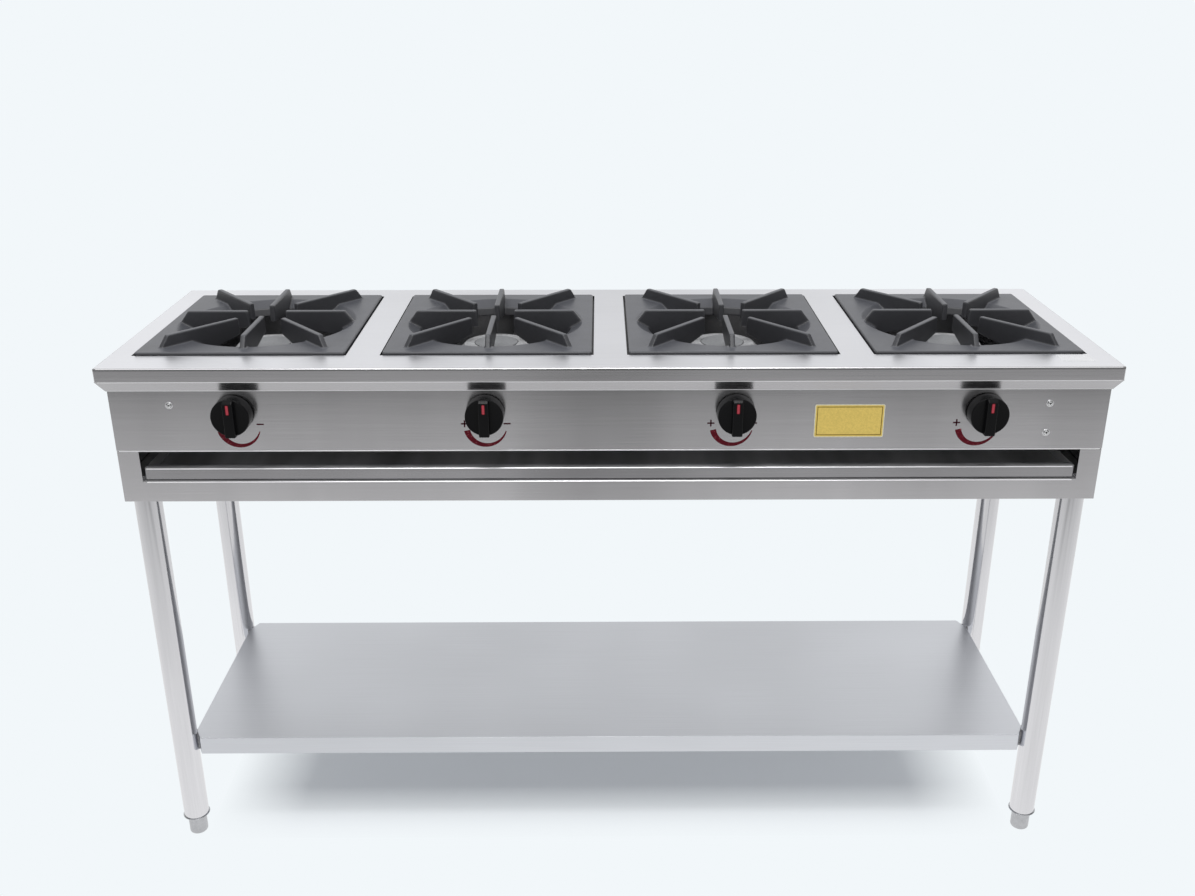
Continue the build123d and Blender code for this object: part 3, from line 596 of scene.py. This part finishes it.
class COOKTOP_OT_sheet_steel(bpy.types.Operator):
    """Worktop, panels, tray and shelf with rounded sheet edges and smooth bends"""
    bl_idname = "cooktop.sheet_steel"
    bl_label = "Sheet steel"

    def execute(self, context):
        edge = looks().steel.edge_round
        self.worktop(edge)
        self.worktop_folds()
        self.panels(edge)
        self.tray(edge)
        self.front_folds()
        smooth_copy("shelf", "shelf_sheet", "shelf_steel", "root", edge)
        return {"FINISHED"}

    def worktop(self, edge):
        """The pressed top: bright on top, painted dark in the recesses as shade, brushed on the lip."""
        low, high = box_of("worktop")
        grates = [box_of(f"grate_{k}") for k in BURNERS]
        round_grate = 4 * MM
        lip_reach = looks().steel.lip_height / 2
        below_top = high.z - 0.05 * MM

        def in_recess(center, normal):
            inside = any(a.x - round_grate < center.x < b.x + round_grate
                         and a.y - round_grate < center.y < b.y + round_grate for a, b in grates)
            return inside and center.z < below_top

        def on_lip(center, normal):
            near_end = min(center.x - low.x, high.x - center.x) < lip_reach
            near_side = min(center.y - low.y, high.y - center.y) < lip_reach
            return (near_end or near_side) and center.z < below_top

        smooth_copy("worktop", "worktop_sheet", ("worktop_steel", "recess_painted_shade", "lip_steel"), "root",
                    edge, 20.0, (in_recess, on_lip))

    def worktop_folds(self):
        """Creases round the worktop, painted bright as highlights: its top edge, the lip's fold and the
        return's edge.
        """
        low, high = box_of("worktop")
        width, depth = (high - low).xy
        middle = (low + high) / 2
        fold = high.z - looks().steel.lip_height
        corner_gap = 8 * MM
        top_edge = (0.55 * MM, high.z - 0.6 * MM, -45)
        lip_fold = (0.12 * MM, fold - 0.4 * MM, 9)
        return_edge = (looks().steel.lip_inset - 0.6 * MM, low.z + 0.8 * MM, -20)
        sides = ((0, depth, width), (90, width, depth), (180, depth, width), (270, width, depth))
        bm = bmesh.new()
        for inset, z, tilt in (top_edge, lip_fold, return_edge):
            for turn, out, side in sides:
                length = side - 2 * inset - corner_gap
                crease(bm, (middle.x, middle.y, z), out / 2 - inset, length, turn, tilt)
        finish_piece(mesh_from(bm, "worktop_fold_lines"), "fold_steel", "root",
                     smooth=60.0)

    def panels(self, edge):
        """The body's five walls: brushed outside, duller inside."""
        low, high = box_of("tray_frame")
        wall = 1.3 * MM

        def inside_body(center, normal):
            return low.x + wall < center.x < high.x - wall and low.y + wall < center.y < high.y - wall

        for node in ("control_panel", "tray_frame", "side_panel_left", "side_panel_right", "back_panel"):
            smooth_copy(node, node + "_sheet", ("panel_steel", "inner_steel"), "root", edge,
                        zones=(inside_body,))

    def tray(self, edge):
        """The pull-out tray: brushed in front and duller inside."""
        low = box_of("drip_tray")[0]
        sheet = 0.6 * MM

        def inside_tray(center, normal):
            return center.y > low.y + sheet and center.z > low.z + sheet

        smooth_copy("drip_tray", "drip_tray_sheet", ("tray_steel", "tray_inside"), "drip_tray",
                    edge, zones=(inside_tray,))

    def front_folds(self):
        """Creases along the front, painted bright as highlights: the tray's lip, the slot's lower edge and
        the panel's edge.
        """
        frame_front = box_of("tray_frame")[0].y
        tray_low, tray_high = box_of("drip_tray")
        panel_low, panel_high = box_of("control_panel")
        slot_bottom = tray_low.z - 0.7 * MM
        tray_width = tray_high.x - tray_low.x
        panel_width = panel_high.x - panel_low.x
        up = -42
        down = 8
        self.front_line("tray_edge_line", "drip_tray", tray_low.y, tray_high.z - 0.6 * MM, tray_width, up)
        self.front_line("tray_frame_line", "root", frame_front, slot_bottom - 0.7 * MM, tray_width, up)
        self.front_line("panel_edge_line", "root", panel_low.y, panel_low.z + 0.8 * MM, panel_width, down)

    def front_line(self, name, body, face, z, length, tilt):
        """A crease painted bright as a highlight, standing a little proud of a front face."""
        proud = 0.35 * MM
        end_gap = 6 * MM
        bm = bmesh.new()
        crease(bm, (0, 0, z), proud - face, length - end_gap, turn=0, tilt=tilt)
        finish_piece(mesh_from(bm, name), "fold_steel", body, smooth=60.0)


class COOKTOP_OT_legs(bpy.types.Operator):
    """Tube legs, their collars and the levelling feet, turned on their own axes"""
    bl_idname = "cooktop.legs"
    bl_label = "Legs and feet"

    def execute(self, context):
        for corner in CORNERS:
            self.tube(corner)
            foot = "foot_" + corner
            smooth_copy(foot, foot + "_turned", "foot_steel", foot, 0.4 * MM)
        for node, slot in (("leg_sockets", "zinc_steel"), ("foot_bushes", "tube_steel")):
            smooth_copy(node, node + "_turned", "foot_steel", "root", 0.5 * MM)
        for corner in CORNERS:
            self.welds(corner)
        return {"FINISHED"}

    def tube(self, corner):
        """A round tube with its cut ends broken by a small chamfer."""
        low, high = box_of("leg_" + corner)
        radius = (high.x - low.x) / 2
        length = high.z - low.z
        wall = 1.5 * MM
        lip = 0.4 * MM
        profile = [(radius - wall, 0), (radius - lip, 0), (radius, lip), (radius, length - lip)]
        profile += [(radius - lip, length), (radius - wall, length), (radius - wall, 0)]
        bm = bmesh.new()
        lathe(bm, profile, ((low.x + high.x) / 2, (low.y + high.y) / 2, low.z), steps=72)
        finish_piece(mesh_from(bm, "leg_" + corner + "_tube"), "tube_steel", "root", "leg_" + corner)

    def welds(self, corner):
        """Two rough beads where the shelf's cut corner meets a leg."""
        low, high = box_of("shelf")
        leg_low, leg_high = box_of("leg_" + corner)
        leg = middle_of("leg_" + corner)
        radius = (leg_high.x - leg_low.x) / 2
        cut = math.radians(26.7)
        inward = Vector((-math.copysign(1, leg.x), -math.copysign(1, leg.y)))
        touch = leg.xy + Vector((inward.x * math.cos(cut), inward.y * math.sin(cut))) * radius
        along = Vector((inward.x * math.sin(cut), -inward.y * math.cos(cut)))
        off = 6.0 * MM
        bm = bmesh.new()
        for step in (-off, off):
            spot = touch + along * step
            lathe(bm, self.bead_profile(high.z - low.z), (spot.x, spot.y, low.z), steps=14)
        finish_piece(mesh_from(bm, "shelf_weld_" + corner), "weld_steel", "root",
                     smooth=60.0)

    def bead_profile(self, length):
        """Half of a bead's section: it swells unevenly and thins out at both ends."""
        bead = 2.3 * MM
        steps = 24
        profile = [(0, 0)]
        for i in range(steps + 1):
            share = i / steps
            swell = 1 + 0.14 * math.sin(i * 2.1) + 0.08 * math.sin(i * 5.3)
            thinning = min(1.0, 6 * share + 0.4, 6 * (1 - share) + 0.4)
            profile.append((bead * swell * thinning, length * share))
        profile.append((0, length))
        return profile


class COOKTOP_OT_burners(bpy.types.Operator):
    """Burner cups and caps with a sandy cast skin"""
    bl_idname = "cooktop.burners"
    bl_label = "Burners"

    def execute(self, context):
        for k in BURNERS:
            smooth_copy(f"burner_{k}", f"burner_cup_{k}", "burner_iron", "root", 0.8 * MM)
            cap = f"burner_cap_{k}"
            middle = middle_of(cap)

            def on_disc(center, normal, middle=middle):
                return (center.xy - middle.xy).length < looks().grate.disc_radius and normal.z > 0.5

            smooth_copy(cap, f"burner_lid_{k}", ("burner_alloy", "disc_alloy"), cap,
                        0.8 * MM, zones=(on_disc,))
        return {"FINISHED"}


class COOKTOP_OT_grates(bpy.types.Operator):
    """Cast grates: the solid shape with every edge rounded as a sand casting is"""
    bl_idname = "cooktop.grates"
    bl_label = "Grates"

    def execute(self, context):
        cast = self.cast_mesh(context)
        for k in BURNERS:
            node = f"grate_{k}"
            mesh = cast.copy()
            mesh.name = f"grate_cast_{k}"
            mesh.transform(Matrix.Translation(middle_of(node) - middle_of("grate_1")))
            finish_piece(mesh, "grate_iron", node, node, 180.0)
        return {"FINISHED"}

    def cast_mesh(self, context):
        """The first grate, remeshed in small cells and smoothed, with its flat faces merged."""
        bm = merged_copy("grate_1")
        blank = bpy.data.meshes.new("grate_blank")
        bm.to_mesh(blank)
        bm.free()
        holder = bpy.data.objects.new("grate_blank", blank)
        context.collection.objects.link(holder)
        skin = holder.modifiers.new("skin", "REMESH")
        skin.mode = "VOXEL"
        skin.voxel_size = looks().grate.grain
        rub = holder.modifiers.new("rub", "SMOOTH")
        rub.factor = 0.5
        rub.iterations = 2
        evaluated = holder.evaluated_get(context.evaluated_depsgraph_get())
        bm = bmesh.new()
        bm.from_mesh(evaluated.to_mesh())
        bpy.data.objects.remove(holder)
        bmesh.ops.dissolve_limit(bm, angle_limit=math.radians(1.0), verts=bm.verts, edges=bm.edges)
        return mesh_from(bm, "grate_cast")


class COOKTOP_OT_knobs(bpy.types.Operator):
    """Moulded knobs: a drafted skirt, a grip bar across it and a painted pointer"""
    bl_idname = "cooktop.knobs"
    bl_label = "Knobs"

    def execute(self, context):
        for k in BURNERS:
            self.knob(k)
        return {"FINISHED"}

    def knob(self, k):
        """One knob: its skirt and grip in one mesh, and its pointer."""
        node = f"knob_{k}"
        low, high = box_of(node)
        center = Vector(((low.x + high.x) / 2, high.y, (low.z + high.z) / 2))
        bm = bmesh.new()
        lathe(bm, self.skirt_profile((high.x - low.x) / 2), center, steps=96, axis=(0, -1, 0))
        self.grip(bm, center, center.y - low.y)
        finish_piece(mesh_from(bm, f"knob_body_{k}"), "knob_plastic", node, node, 40.0)
        self.pointer(k, center, low.y)

    def skirt_profile(self, radius):
        """Half of the skirt's section: a broken edge, a drafted side, a rounded rim and a dished face."""
        skirt = looks().knob.skirt_depth
        front = looks().knob.front_radius
        side_end = (front + 0.3 * MM, skirt - 1.8 * MM)
        rim_round = 1.1 * MM
        dish_edge = 4 * MM
        dish_floor = skirt - 0.4 * MM
        profile = [(0, 0), (radius - 0.6 * MM, 0), (radius, 0.8 * MM), side_end]
        profile += rounded_corner(front + 0.2 * MM, skirt, rim_round)
        profile += [(front - dish_edge, dish_floor), (0, dish_floor)]
        return profile

    def grip(self, bm, center, depth):
        """A bar across the skirt, with a chamfer over the pointer and rounded edges."""
        look = looks().knob
        skirt = look.skirt_depth
        half = look.grip_width / 2
        reach = look.front_radius + 0.3 * MM
        recess = 0.25 * MM
        sunk = 2 * MM
        taper = 0.90
        edge_round = 1.3 * MM
        verts = add_slab(bm, (-half, recess - depth, -reach), (half, sunk - skirt, reach))
        front = [vert for vert in verts if vert.co.y < -skirt]
        for vert in front:
            vert.co.x *= taper
        top = {edge for vert in front for edge in vert.link_edges
               if all(end.co.y < -skirt and end.co.z > 0 for end in edge.verts)}
        made = cut_edges(bm, list(top), look.grip_chamfer, segments=1)
        verts = list({end for vert in verts + made["verts"] if vert.is_valid for edge in vert.link_edges
                      for end in edge.verts})
        edges = list({edge for vert in verts for edge in vert.link_edges})
        made = cut_edges(bm, verts + edges, edge_round, segments=3)
        rounded = {vert for face in made["faces"] for vert in face.verts}
        bmesh.ops.translate(bm, verts=list(rounded), vec=center)

    def pointer(self, k, center, front):
        """The painted line on the grip, with a darker edge round it."""
        look = looks().knob
        below_chamfer = 1.2 * MM
        top = center.z + look.front_radius - look.grip_chamfer - below_chamfer
        bottom = top - look.line_length
        rim = 0.8 * MM
        self.painted_line(f"knob_pointer_{k}", k, center, look.line_width, (bottom, top),
                          front + 0.02 * MM, "pointer_paint")
        self.painted_line(f"knob_pointer_edge_{k}", k, center, look.line_width + 2 * rim,
                          (bottom - rim, top + rim), front + 0.12 * MM, "pointer_edge")

    def painted_line(self, name, k, center, width, heights, front, ink):
        """An upright line with round ends, let into the grip from its front face."""
        bottom, top = heights
        back = front + 1.0 * MM
        bm = bmesh.new()
        add_slab(bm, (center.x - width / 2, front, bottom), (center.x + width / 2, back, top))
        cut_edges(bm, edges_along(bm, "y"), width * 0.3, segments=4)
        finish_piece(mesh_from(bm, name), ink, f"knob_{k}")


class COOKTOP_OT_dial_marks(bpy.types.Operator):
    """Printed flame arcs with plus and minus around the lower half of each knob"""
    bl_idname = "cooktop.dial_marks"
    bl_label = "Dial marks"

    def execute(self, context):
        look = looks().mark
        face = box_of("control_panel")[0].y
        for k in BURNERS:
            across = (k - (len(BURNERS) + 1) / 2) * look.print_pitch + look.print_shift
            center = Vector((across, face, middle_of(f"knob_{k}").z - look.arc_drop))
            self.arc(k, center)
            self.signs(k, center)
        return {"FINISHED"}

    def arc(self, k, center):
        """The flame arc, thick at the plus and thin at the minus."""
        look = looks().mark
        start = math.radians(193)
        sweep = math.radians(154)
        thinning = 0.8
        bm = bmesh.new()
        rim = bm.verts.new((look.arc_radius, 0, 0))
        inner = bm.verts.new((look.arc_radius - look.thick_end, 0, 0))
        edge = bm.edges.new((rim, inner))
        bmesh.ops.rotate(bm, verts=[rim, inner], cent=(0, 0, 0), matrix=Matrix.Rotation(-start, 3, "Y"))
        bmesh.ops.spin(bm, geom=[edge], cent=(0, 0, 0), axis=(0, -1, 0), angle=sweep, steps=56)
        for vert in bm.verts:
            away = math.hypot(vert.co.x, vert.co.z)
            if away < look.arc_radius - look.thick_end / 2:
                turn = (math.atan2(vert.co.z, vert.co.x) - start) % math.tau
                share = min(turn / sweep, 1.0)
                width = look.thin_end + (look.thick_end - look.thin_end) * (1 - share) ** thinning
                vert.co *= (look.arc_radius - width) / away
        bmesh.ops.translate(bm, verts=bm.verts, vec=center)
        self.print_ink(bm, f"dial_arc_{k}", "arc_ink")

    def signs(self, k, center):
        """A plus to the left of the arc and a minus to its right."""
        arm = 5.0 * MM
        line = 1.05 * MM
        rise = 4.0 * MM
        plus_left = 28.5 * MM
        minus_right = 30.5 * MM
        plus = center + Vector((-plus_left, 0, rise))
        minus = center + Vector((minus_right, 0, rise))
        bm = bmesh.new()
        upright_sheet(bm, plus, arm, line)
        upright_sheet(bm, plus, line, arm)
        upright_sheet(bm, minus, arm, line)
        self.print_ink(bm, f"dial_signs_{k}", "sign_ink")

    def print_ink(self, bm, name, ink):
        """Gives flat faces the thickness of ink and links them as a piece."""
        thicken_forward(bm, 0.12 * MM)
        finish_piece(mesh_from(bm, name), ink, "root")


class COOKTOP_OT_plates(bpy.types.Operator):
    """The blank plate on the panel and the blank sticker on the worktop"""
    bl_idname = "cooktop.plates"
    bl_label = "Blank plates"

    def execute(self, context):
        look = looks().mark
        width, height = look.plate_width, look.plate_height
        low = box_of("control_panel")[0]
        right_of_middle = 282.5 * MM
        above_panel_edge = 19.3 * MM
        corner = Vector((right_of_middle, low.y, low.z + above_panel_edge))
        rim = Vector((1.2 * MM, 0, 1.2 * MM))
        self.plate("blank_plate_edge", corner, width, height, thick=0.45 * MM, round_by=2.5 * MM,
                   ink="plate_edge")
        self.plate("blank_plate", corner + rim, width - 2 * rim.x, height - 2 * rim.z, thick=0.5 * MM,
                   round_by=1.8 * MM, ink="plate_face")
        self.border(corner, width, height)
        self.sticker()
        return {"FINISHED"}

    def plate(self, name, corner, width, height, thick, round_by, ink):
        """A thin plate on the panel with rounded corners."""
        bm = bmesh.new()
        add_slab(bm, corner - Vector((0, thick, 0)), corner + Vector((width, 0, height)))
        cut_edges(bm, edges_along(bm, "y"), round_by, segments=5)
        finish_piece(mesh_from(bm, name), ink, "root", bevel=0.15 * MM)

    def border(self, corner, width, height):
        """The printed line that runs round the plate inside its edge."""
        inset = 3.2 * MM
        line = 1.0 * MM
        plate_face = corner.y - 0.5 * MM
        middle = (corner.x + width / 2, plate_face, corner.z + height / 2)
        bm = bmesh.new()
        upright_sheet(bm, middle, (width - 2 * inset) / 2, (height - 2 * inset) / 2)
        inner = list(bm.faces)
        bmesh.ops.inset_region(bm, faces=inner, thickness=line, use_even_offset=True, use_boundary=True)
        bmesh.ops.delete(bm, geom=inner, context="FACES")
        thicken_forward(bm, 0.1 * MM)
        finish_piece(mesh_from(bm, "plate_line"), "plate_border", "root")

    def sticker(self):
        """A small blank sticker near the worktop's front right corner."""
        low, high = box_of("worktop")
        right = high.x - 32 * MM
        front = low.y + 26 * MM
        width = 46 * MM
        depth = 30 * MM
        thick = 0.15 * MM
        corner_round = 3 * MM
        bm = bmesh.new()
        add_slab(bm, (right - width, front, high.z), (right, front + depth, high.z + thick))
        cut_edges(bm, edges_along(bm, "z"), corner_round, segments=5)
        finish_piece(mesh_from(bm, "blank_sticker"), "sticker_paper", "root")


class COOKTOP_OT_inner_parts(bpy.types.Operator):
    """Gas pipe, taps, rails, runners and fixings inside the body"""
    bl_idname = "cooktop.inner_parts"
    bl_label = "Gas parts and fixings"

    def execute(self, context):
        for node in ("gas_inlet", "gas_manifold"):
            smooth_copy(node, node + "_pipe", "pipe_steel", "root", 0.3 * MM)
        self.screw_heads()
        self.screw_rims()
        plain = {"zinc_steel": ["burner_rail_front", "burner_rail_back", "tray_runner_left",
                                "tray_runner_right", "manifold_brackets"],
                 "shelf_steel": ["shelf_brace"],
                 "screw_steel": ["burner_screws"],
                 "brass": ["injectors"]}
        for k in BURNERS:
            plain["brass"] += [f"tap_body_{k}", f"tap_plug_{k}"]
            plain["screw_steel"] += [f"tap_spindle_{k}"]
        for slot, nodes in plain.items():
            for node in nodes:
                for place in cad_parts[node].material_slots:
                    place.material = finish(slot)
        return {"FINISHED"}

    def screw_heads(self):
        """The panel's dome-head screws, with painted shade on the floor of their sockets."""
        dome_top = box_of("panel_screws")[0].y
        socket_from = dome_top + 0.8 * MM
        socket_to = dome_top + 2.4 * MM

        def in_socket(center, normal):
            return normal.y < -0.5 and socket_from < center.y < socket_to

        smooth_copy("panel_screws", "panel_screw_heads", ("screw_steel", "socket_painted_shade"), "root",
                    0.25 * MM, zones=(in_socket,))

    def screw_rims(self):
        """Rims round the three screw heads on the panel, in the near-white steel of the painted
        highlights.
        """
        low, high = box_of("panel_screws")
        face = box_of("control_panel")[0].y
        head = 4.3 * MM
        inner = head - 0.4 * MM
        outer = head + 0.9 * MM
        thick = 0.7 * MM
        profile = [(inner, 0), (outer, 0), *rounded_corner(outer, thick, 0.5 * MM)]
        profile += [(inner, thick), (inner, 0)]
        left, right = low.x + head, high.x - head
        bottom, top = low.z + head, high.z - head
        bm = bmesh.new()
        for x, z in ((left, top), (right, top), (right, bottom)):
            lathe(bm, profile, (x, face, z), steps=48, axis=(0, -1, 0))
        finish_piece(mesh_from(bm, "panel_screw_rims"), "fold_steel", "root")


class COOKTOP_OT_studio(bpy.types.Operator):
    """Pale floor, soft daylight and the camera at the photograph's angle"""
    bl_idname = "cooktop.studio"
    bl_label = "Floor, light and camera"

    def execute(self, context):
        self.floor()
        self.daylight()
        self.sun()
        self.ceiling_light()
        self.camera()
        context.scene.view_settings.view_transform = "Standard"
        return {"FINISHED"}

    def floor(self):
        """A wide floor in the backdrop's colour, with a soft shadow under the object."""
        bm = bmesh.new()
        bmesh.ops.create_grid(bm, x_segments=1, y_segments=1, size=200.0)
        floor = bpy.data.objects.new("floor", mesh_from(bm, "floor"))
        bpy.context.collection.objects.link(floor)
        material, tree, shader = new_material("floor_paint")
        # The floor under the object is greyer than the backdrop: painted shade that deepens its shadow.
        shader.inputs["Base Color"].default_value = (0.80, 0.83, 0.86, 1)
        shader.inputs["Roughness"].default_value = 1.0
        shader.inputs["Specular IOR Level"].default_value = 0.0
        pale = add_node(tree, "Emission")
        pale.inputs["Color"].default_value = (*looks().stage.backdrop, 1)
        seen = self.mixed_shaders(tree, self.under_object(tree), pale.outputs["Emission"],
                                  shader.outputs["BSDF"])
        # For reflected rays the floor glows with a set tone instead of being lit: a painted reflection.
        mirrored = add_node(tree, "Emission")
        link(tree, self.mirrored_tone(tree), mirrored.inputs["Color"])
        path = add_node(tree, "LightPath")
        blend = self.mixed_shaders(tree, path.outputs["Is Glossy Ray"], seen, mirrored.outputs["Emission"])
        link(tree, blend, tree.nodes["Material Output"].inputs["Surface"])
        floor.data.materials.append(material)

    def mixed_shaders(self, tree, factor, first, second):
        """A mix of two shaders by a factor."""
        made = add_node(tree, "MixShader")
        link(tree, factor, made.inputs["Fac"])
        link(tree, first, made.inputs[1])
        link(tree, second, made.inputs[2])
        return made.outputs["Shader"]

    def under_object(self, tree):
        """White on the floor under the object, where it keeps the shadow, and black around."""
        place = position(tree)
        depth = spread(tree, place["Y"], -0.3, 0.5)
        width = spread(tree, place["X"], -0.8, 0.8)
        return multiplied(tree, ramp(tree, depth, ((0.13, 0.0), (0.30, 1.0), (0.6, 1.0), (0.8, 0.0))),
                          ramp(tree, width, ((0.09, 0.0), (0.18, 1.0), (0.82, 1.0), (0.91, 0.0))))

    def mirrored_tone(self, tree):
        """The painted reflection of the floor in the steel: darker towards the viewer, with soft bands
        across.
        """
        place = position(tree)
        ahead = spread(tree, place["Y"], -3.2, 0.0)
        near = ramp(tree, ahead, ((0.0, 0.22), (0.16, 0.28), (0.235, 0.38), (0.31, 0.47), (0.42, 0.52),
                                  (0.52, 0.76), (0.80, 0.86), (1.0, 0.92)))
        sideways = spread(tree, place["X"], -2.4, 2.4)
        band = ramp(tree, sideways, ((0.30, 0.95), (0.36, 1.0), (0.44, 1.0), (0.475, 0.66), (0.525, 0.66),
                                     (0.57, 1.0), (0.65, 1.0), (0.68, 0.86), (0.72, 1.0)))
        close = ramp(tree, ahead, ((0.5, 0.0), (0.75, 1.0)))
        return multiplied(tree, near, mixed(tree, close, band, 1.0))

    def daylight(self):
        """The world: a plain backdrop, a room with dark sides in reflections, and light from the sides."""
        world = bpy.data.worlds.new("daylight")
        bpy.context.scene.world = world
        world.use_nodes = True
        tree = world.node_tree
        place = position(tree, "Generated")
        depth = spread(tree, place["Y"], -1.0, 1.0)
        height = spread(tree, place["Z"], 0.0, 1.0)
        sideways = spread(tree, place["X"], -1.0, 1.0)
        room = ramp(tree, depth, ((0.0, 0.66), (0.35, 0.68), (0.6, 0.86), (1.0, 0.95)))
        above = ramp(tree, height, ((0.25, 0.0), (0.7, 1.0)))
        walls = ramp(tree, sideways, ((0.0, 0.15), (0.15, 0.5), (0.32, 1.0), (0.435, 0.77), (0.57, 0.77),
                                      (0.67, 1.0), (0.85, 0.5), (1.0, 0.15)))
        mirrored = multiplied(tree, mixed(tree, above, room, 1.0), walls)
        around = ramp(tree, sideways, ((0.0, 1.0), (0.36, 0.5), (0.64, 0.5), (1.0, 1.0)))
        path = add_node(tree, "LightPath")
        light = mixed(tree, path.outputs["Is Glossy Ray"], around, mirrored)
        seen = mixed(tree, path.outputs["Is Camera Ray"], light, looks().stage.backdrop)
        back = tree.nodes["Background"]
        link(tree, seen, back.inputs["Color"])
        back.inputs["Strength"].default_value = 1.0

    def sun(self):
        """A soft sun from above that steel doesn't mirror."""
        light = bpy.data.lights.new("sun", "SUN")
        light.energy = 0.75
        light.angle = math.radians(24)
        lamp = bpy.data.objects.new("sun", light)
        lamp.rotation_euler = (math.radians(14), math.radians(-6), 0)
        lamp.visible_glossy = False
        bpy.context.collection.objects.link(lamp)

    def ceiling_light(self):
        """A long lamp overhead, in front of the object."""
        light = bpy.data.lights.new("ceiling_light", "AREA")
        light.shape = "RECTANGLE"
        light.size = 1.5
        light.size_y = 0.3
        light.energy = 16.0
        lamp = bpy.data.objects.new("ceiling_light", light)
        lamp.location = (-0.1, -1.1, 2.9)
        lamp.rotation_euler = (math.radians(26), 0, 0)
        bpy.context.collection.objects.link(lamp)

    def camera(self):
        """The camera, fitted to the edges that the photograph shows."""
        data = bpy.data.cameras.new("camera")
        data.sensor_width = 36.0
        data.lens = looks().stage.lens
        data.shift_x = -0.00937
        data.shift_y = 0.00107
        camera = bpy.data.objects.new("camera", data)
        camera.location = (-0.01438, -1.75992, 1.30288)
        camera.rotation_euler = (math.radians(68.17), 0, math.radians(-0.43))
        bpy.context.collection.objects.link(camera)
        bpy.context.scene.camera = camera


class CooktopLooks(bpy.types.PropertyGroup):
    """All settings of the cooktop's looks"""
    steel: bpy.props.PointerProperty(name="Steel", description="Sheet and tube finishes", type=SteelLook)
    knob: bpy.props.PointerProperty(name="Knobs", description="Knob sizes and colours", type=KnobLook)
    mark: bpy.props.PointerProperty(name="Marks", description="Prints and plates", type=MarkLook)
    grate: bpy.props.PointerProperty(name="Grates", description="Cast iron finish", type=GrateLook)
    stage: bpy.props.PointerProperty(name="Stage", description="Backdrop and camera", type=StageLook)


STEPS = (COOKTOP_OT_studio, COOKTOP_OT_sheet_steel, COOKTOP_OT_legs, COOKTOP_OT_burners, COOKTOP_OT_grates,
         COOKTOP_OT_knobs, COOKTOP_OT_dial_marks, COOKTOP_OT_plates, COOKTOP_OT_inner_parts)


class COOKTOP_PT_looks(bpy.types.Panel):
    """The steps of the cooktop's looks, in the order in which they run"""
    bl_idname = "COOKTOP_PT_looks"
    bl_label = "Gas cooktop"
    bl_space_type = "VIEW_3D"
    bl_region_type = "UI"
    bl_category = "Cooktop"

    def draw(self, context):
        for step in STEPS:
            self.layout.operator(step.bl_idname)
        for group in CooktopLooks.__annotations__:
            box = self.layout.box()
            values = getattr(looks(), group)
            for key in values.__annotations__:
                box.prop(values, key)


CLASSES = (SteelLook, KnobLook, MarkLook, GrateLook, StageLook, CooktopLooks, *STEPS, COOKTOP_PT_looks)


def register():
    for cls in CLASSES:
        bpy.utils.register_class(cls)
    bpy.types.Scene.cooktop = bpy.props.PointerProperty(type=CooktopLooks)


def unregister():
    del bpy.types.Scene.cooktop
    for cls in reversed(CLASSES):
        bpy.utils.unregister_class(cls)


def main():
    register()
    for step in STEPS:
        group, name = step.bl_idname.split(".")
        getattr(getattr(bpy.ops, group), name)()


if __name__ == "__main__":
    main()
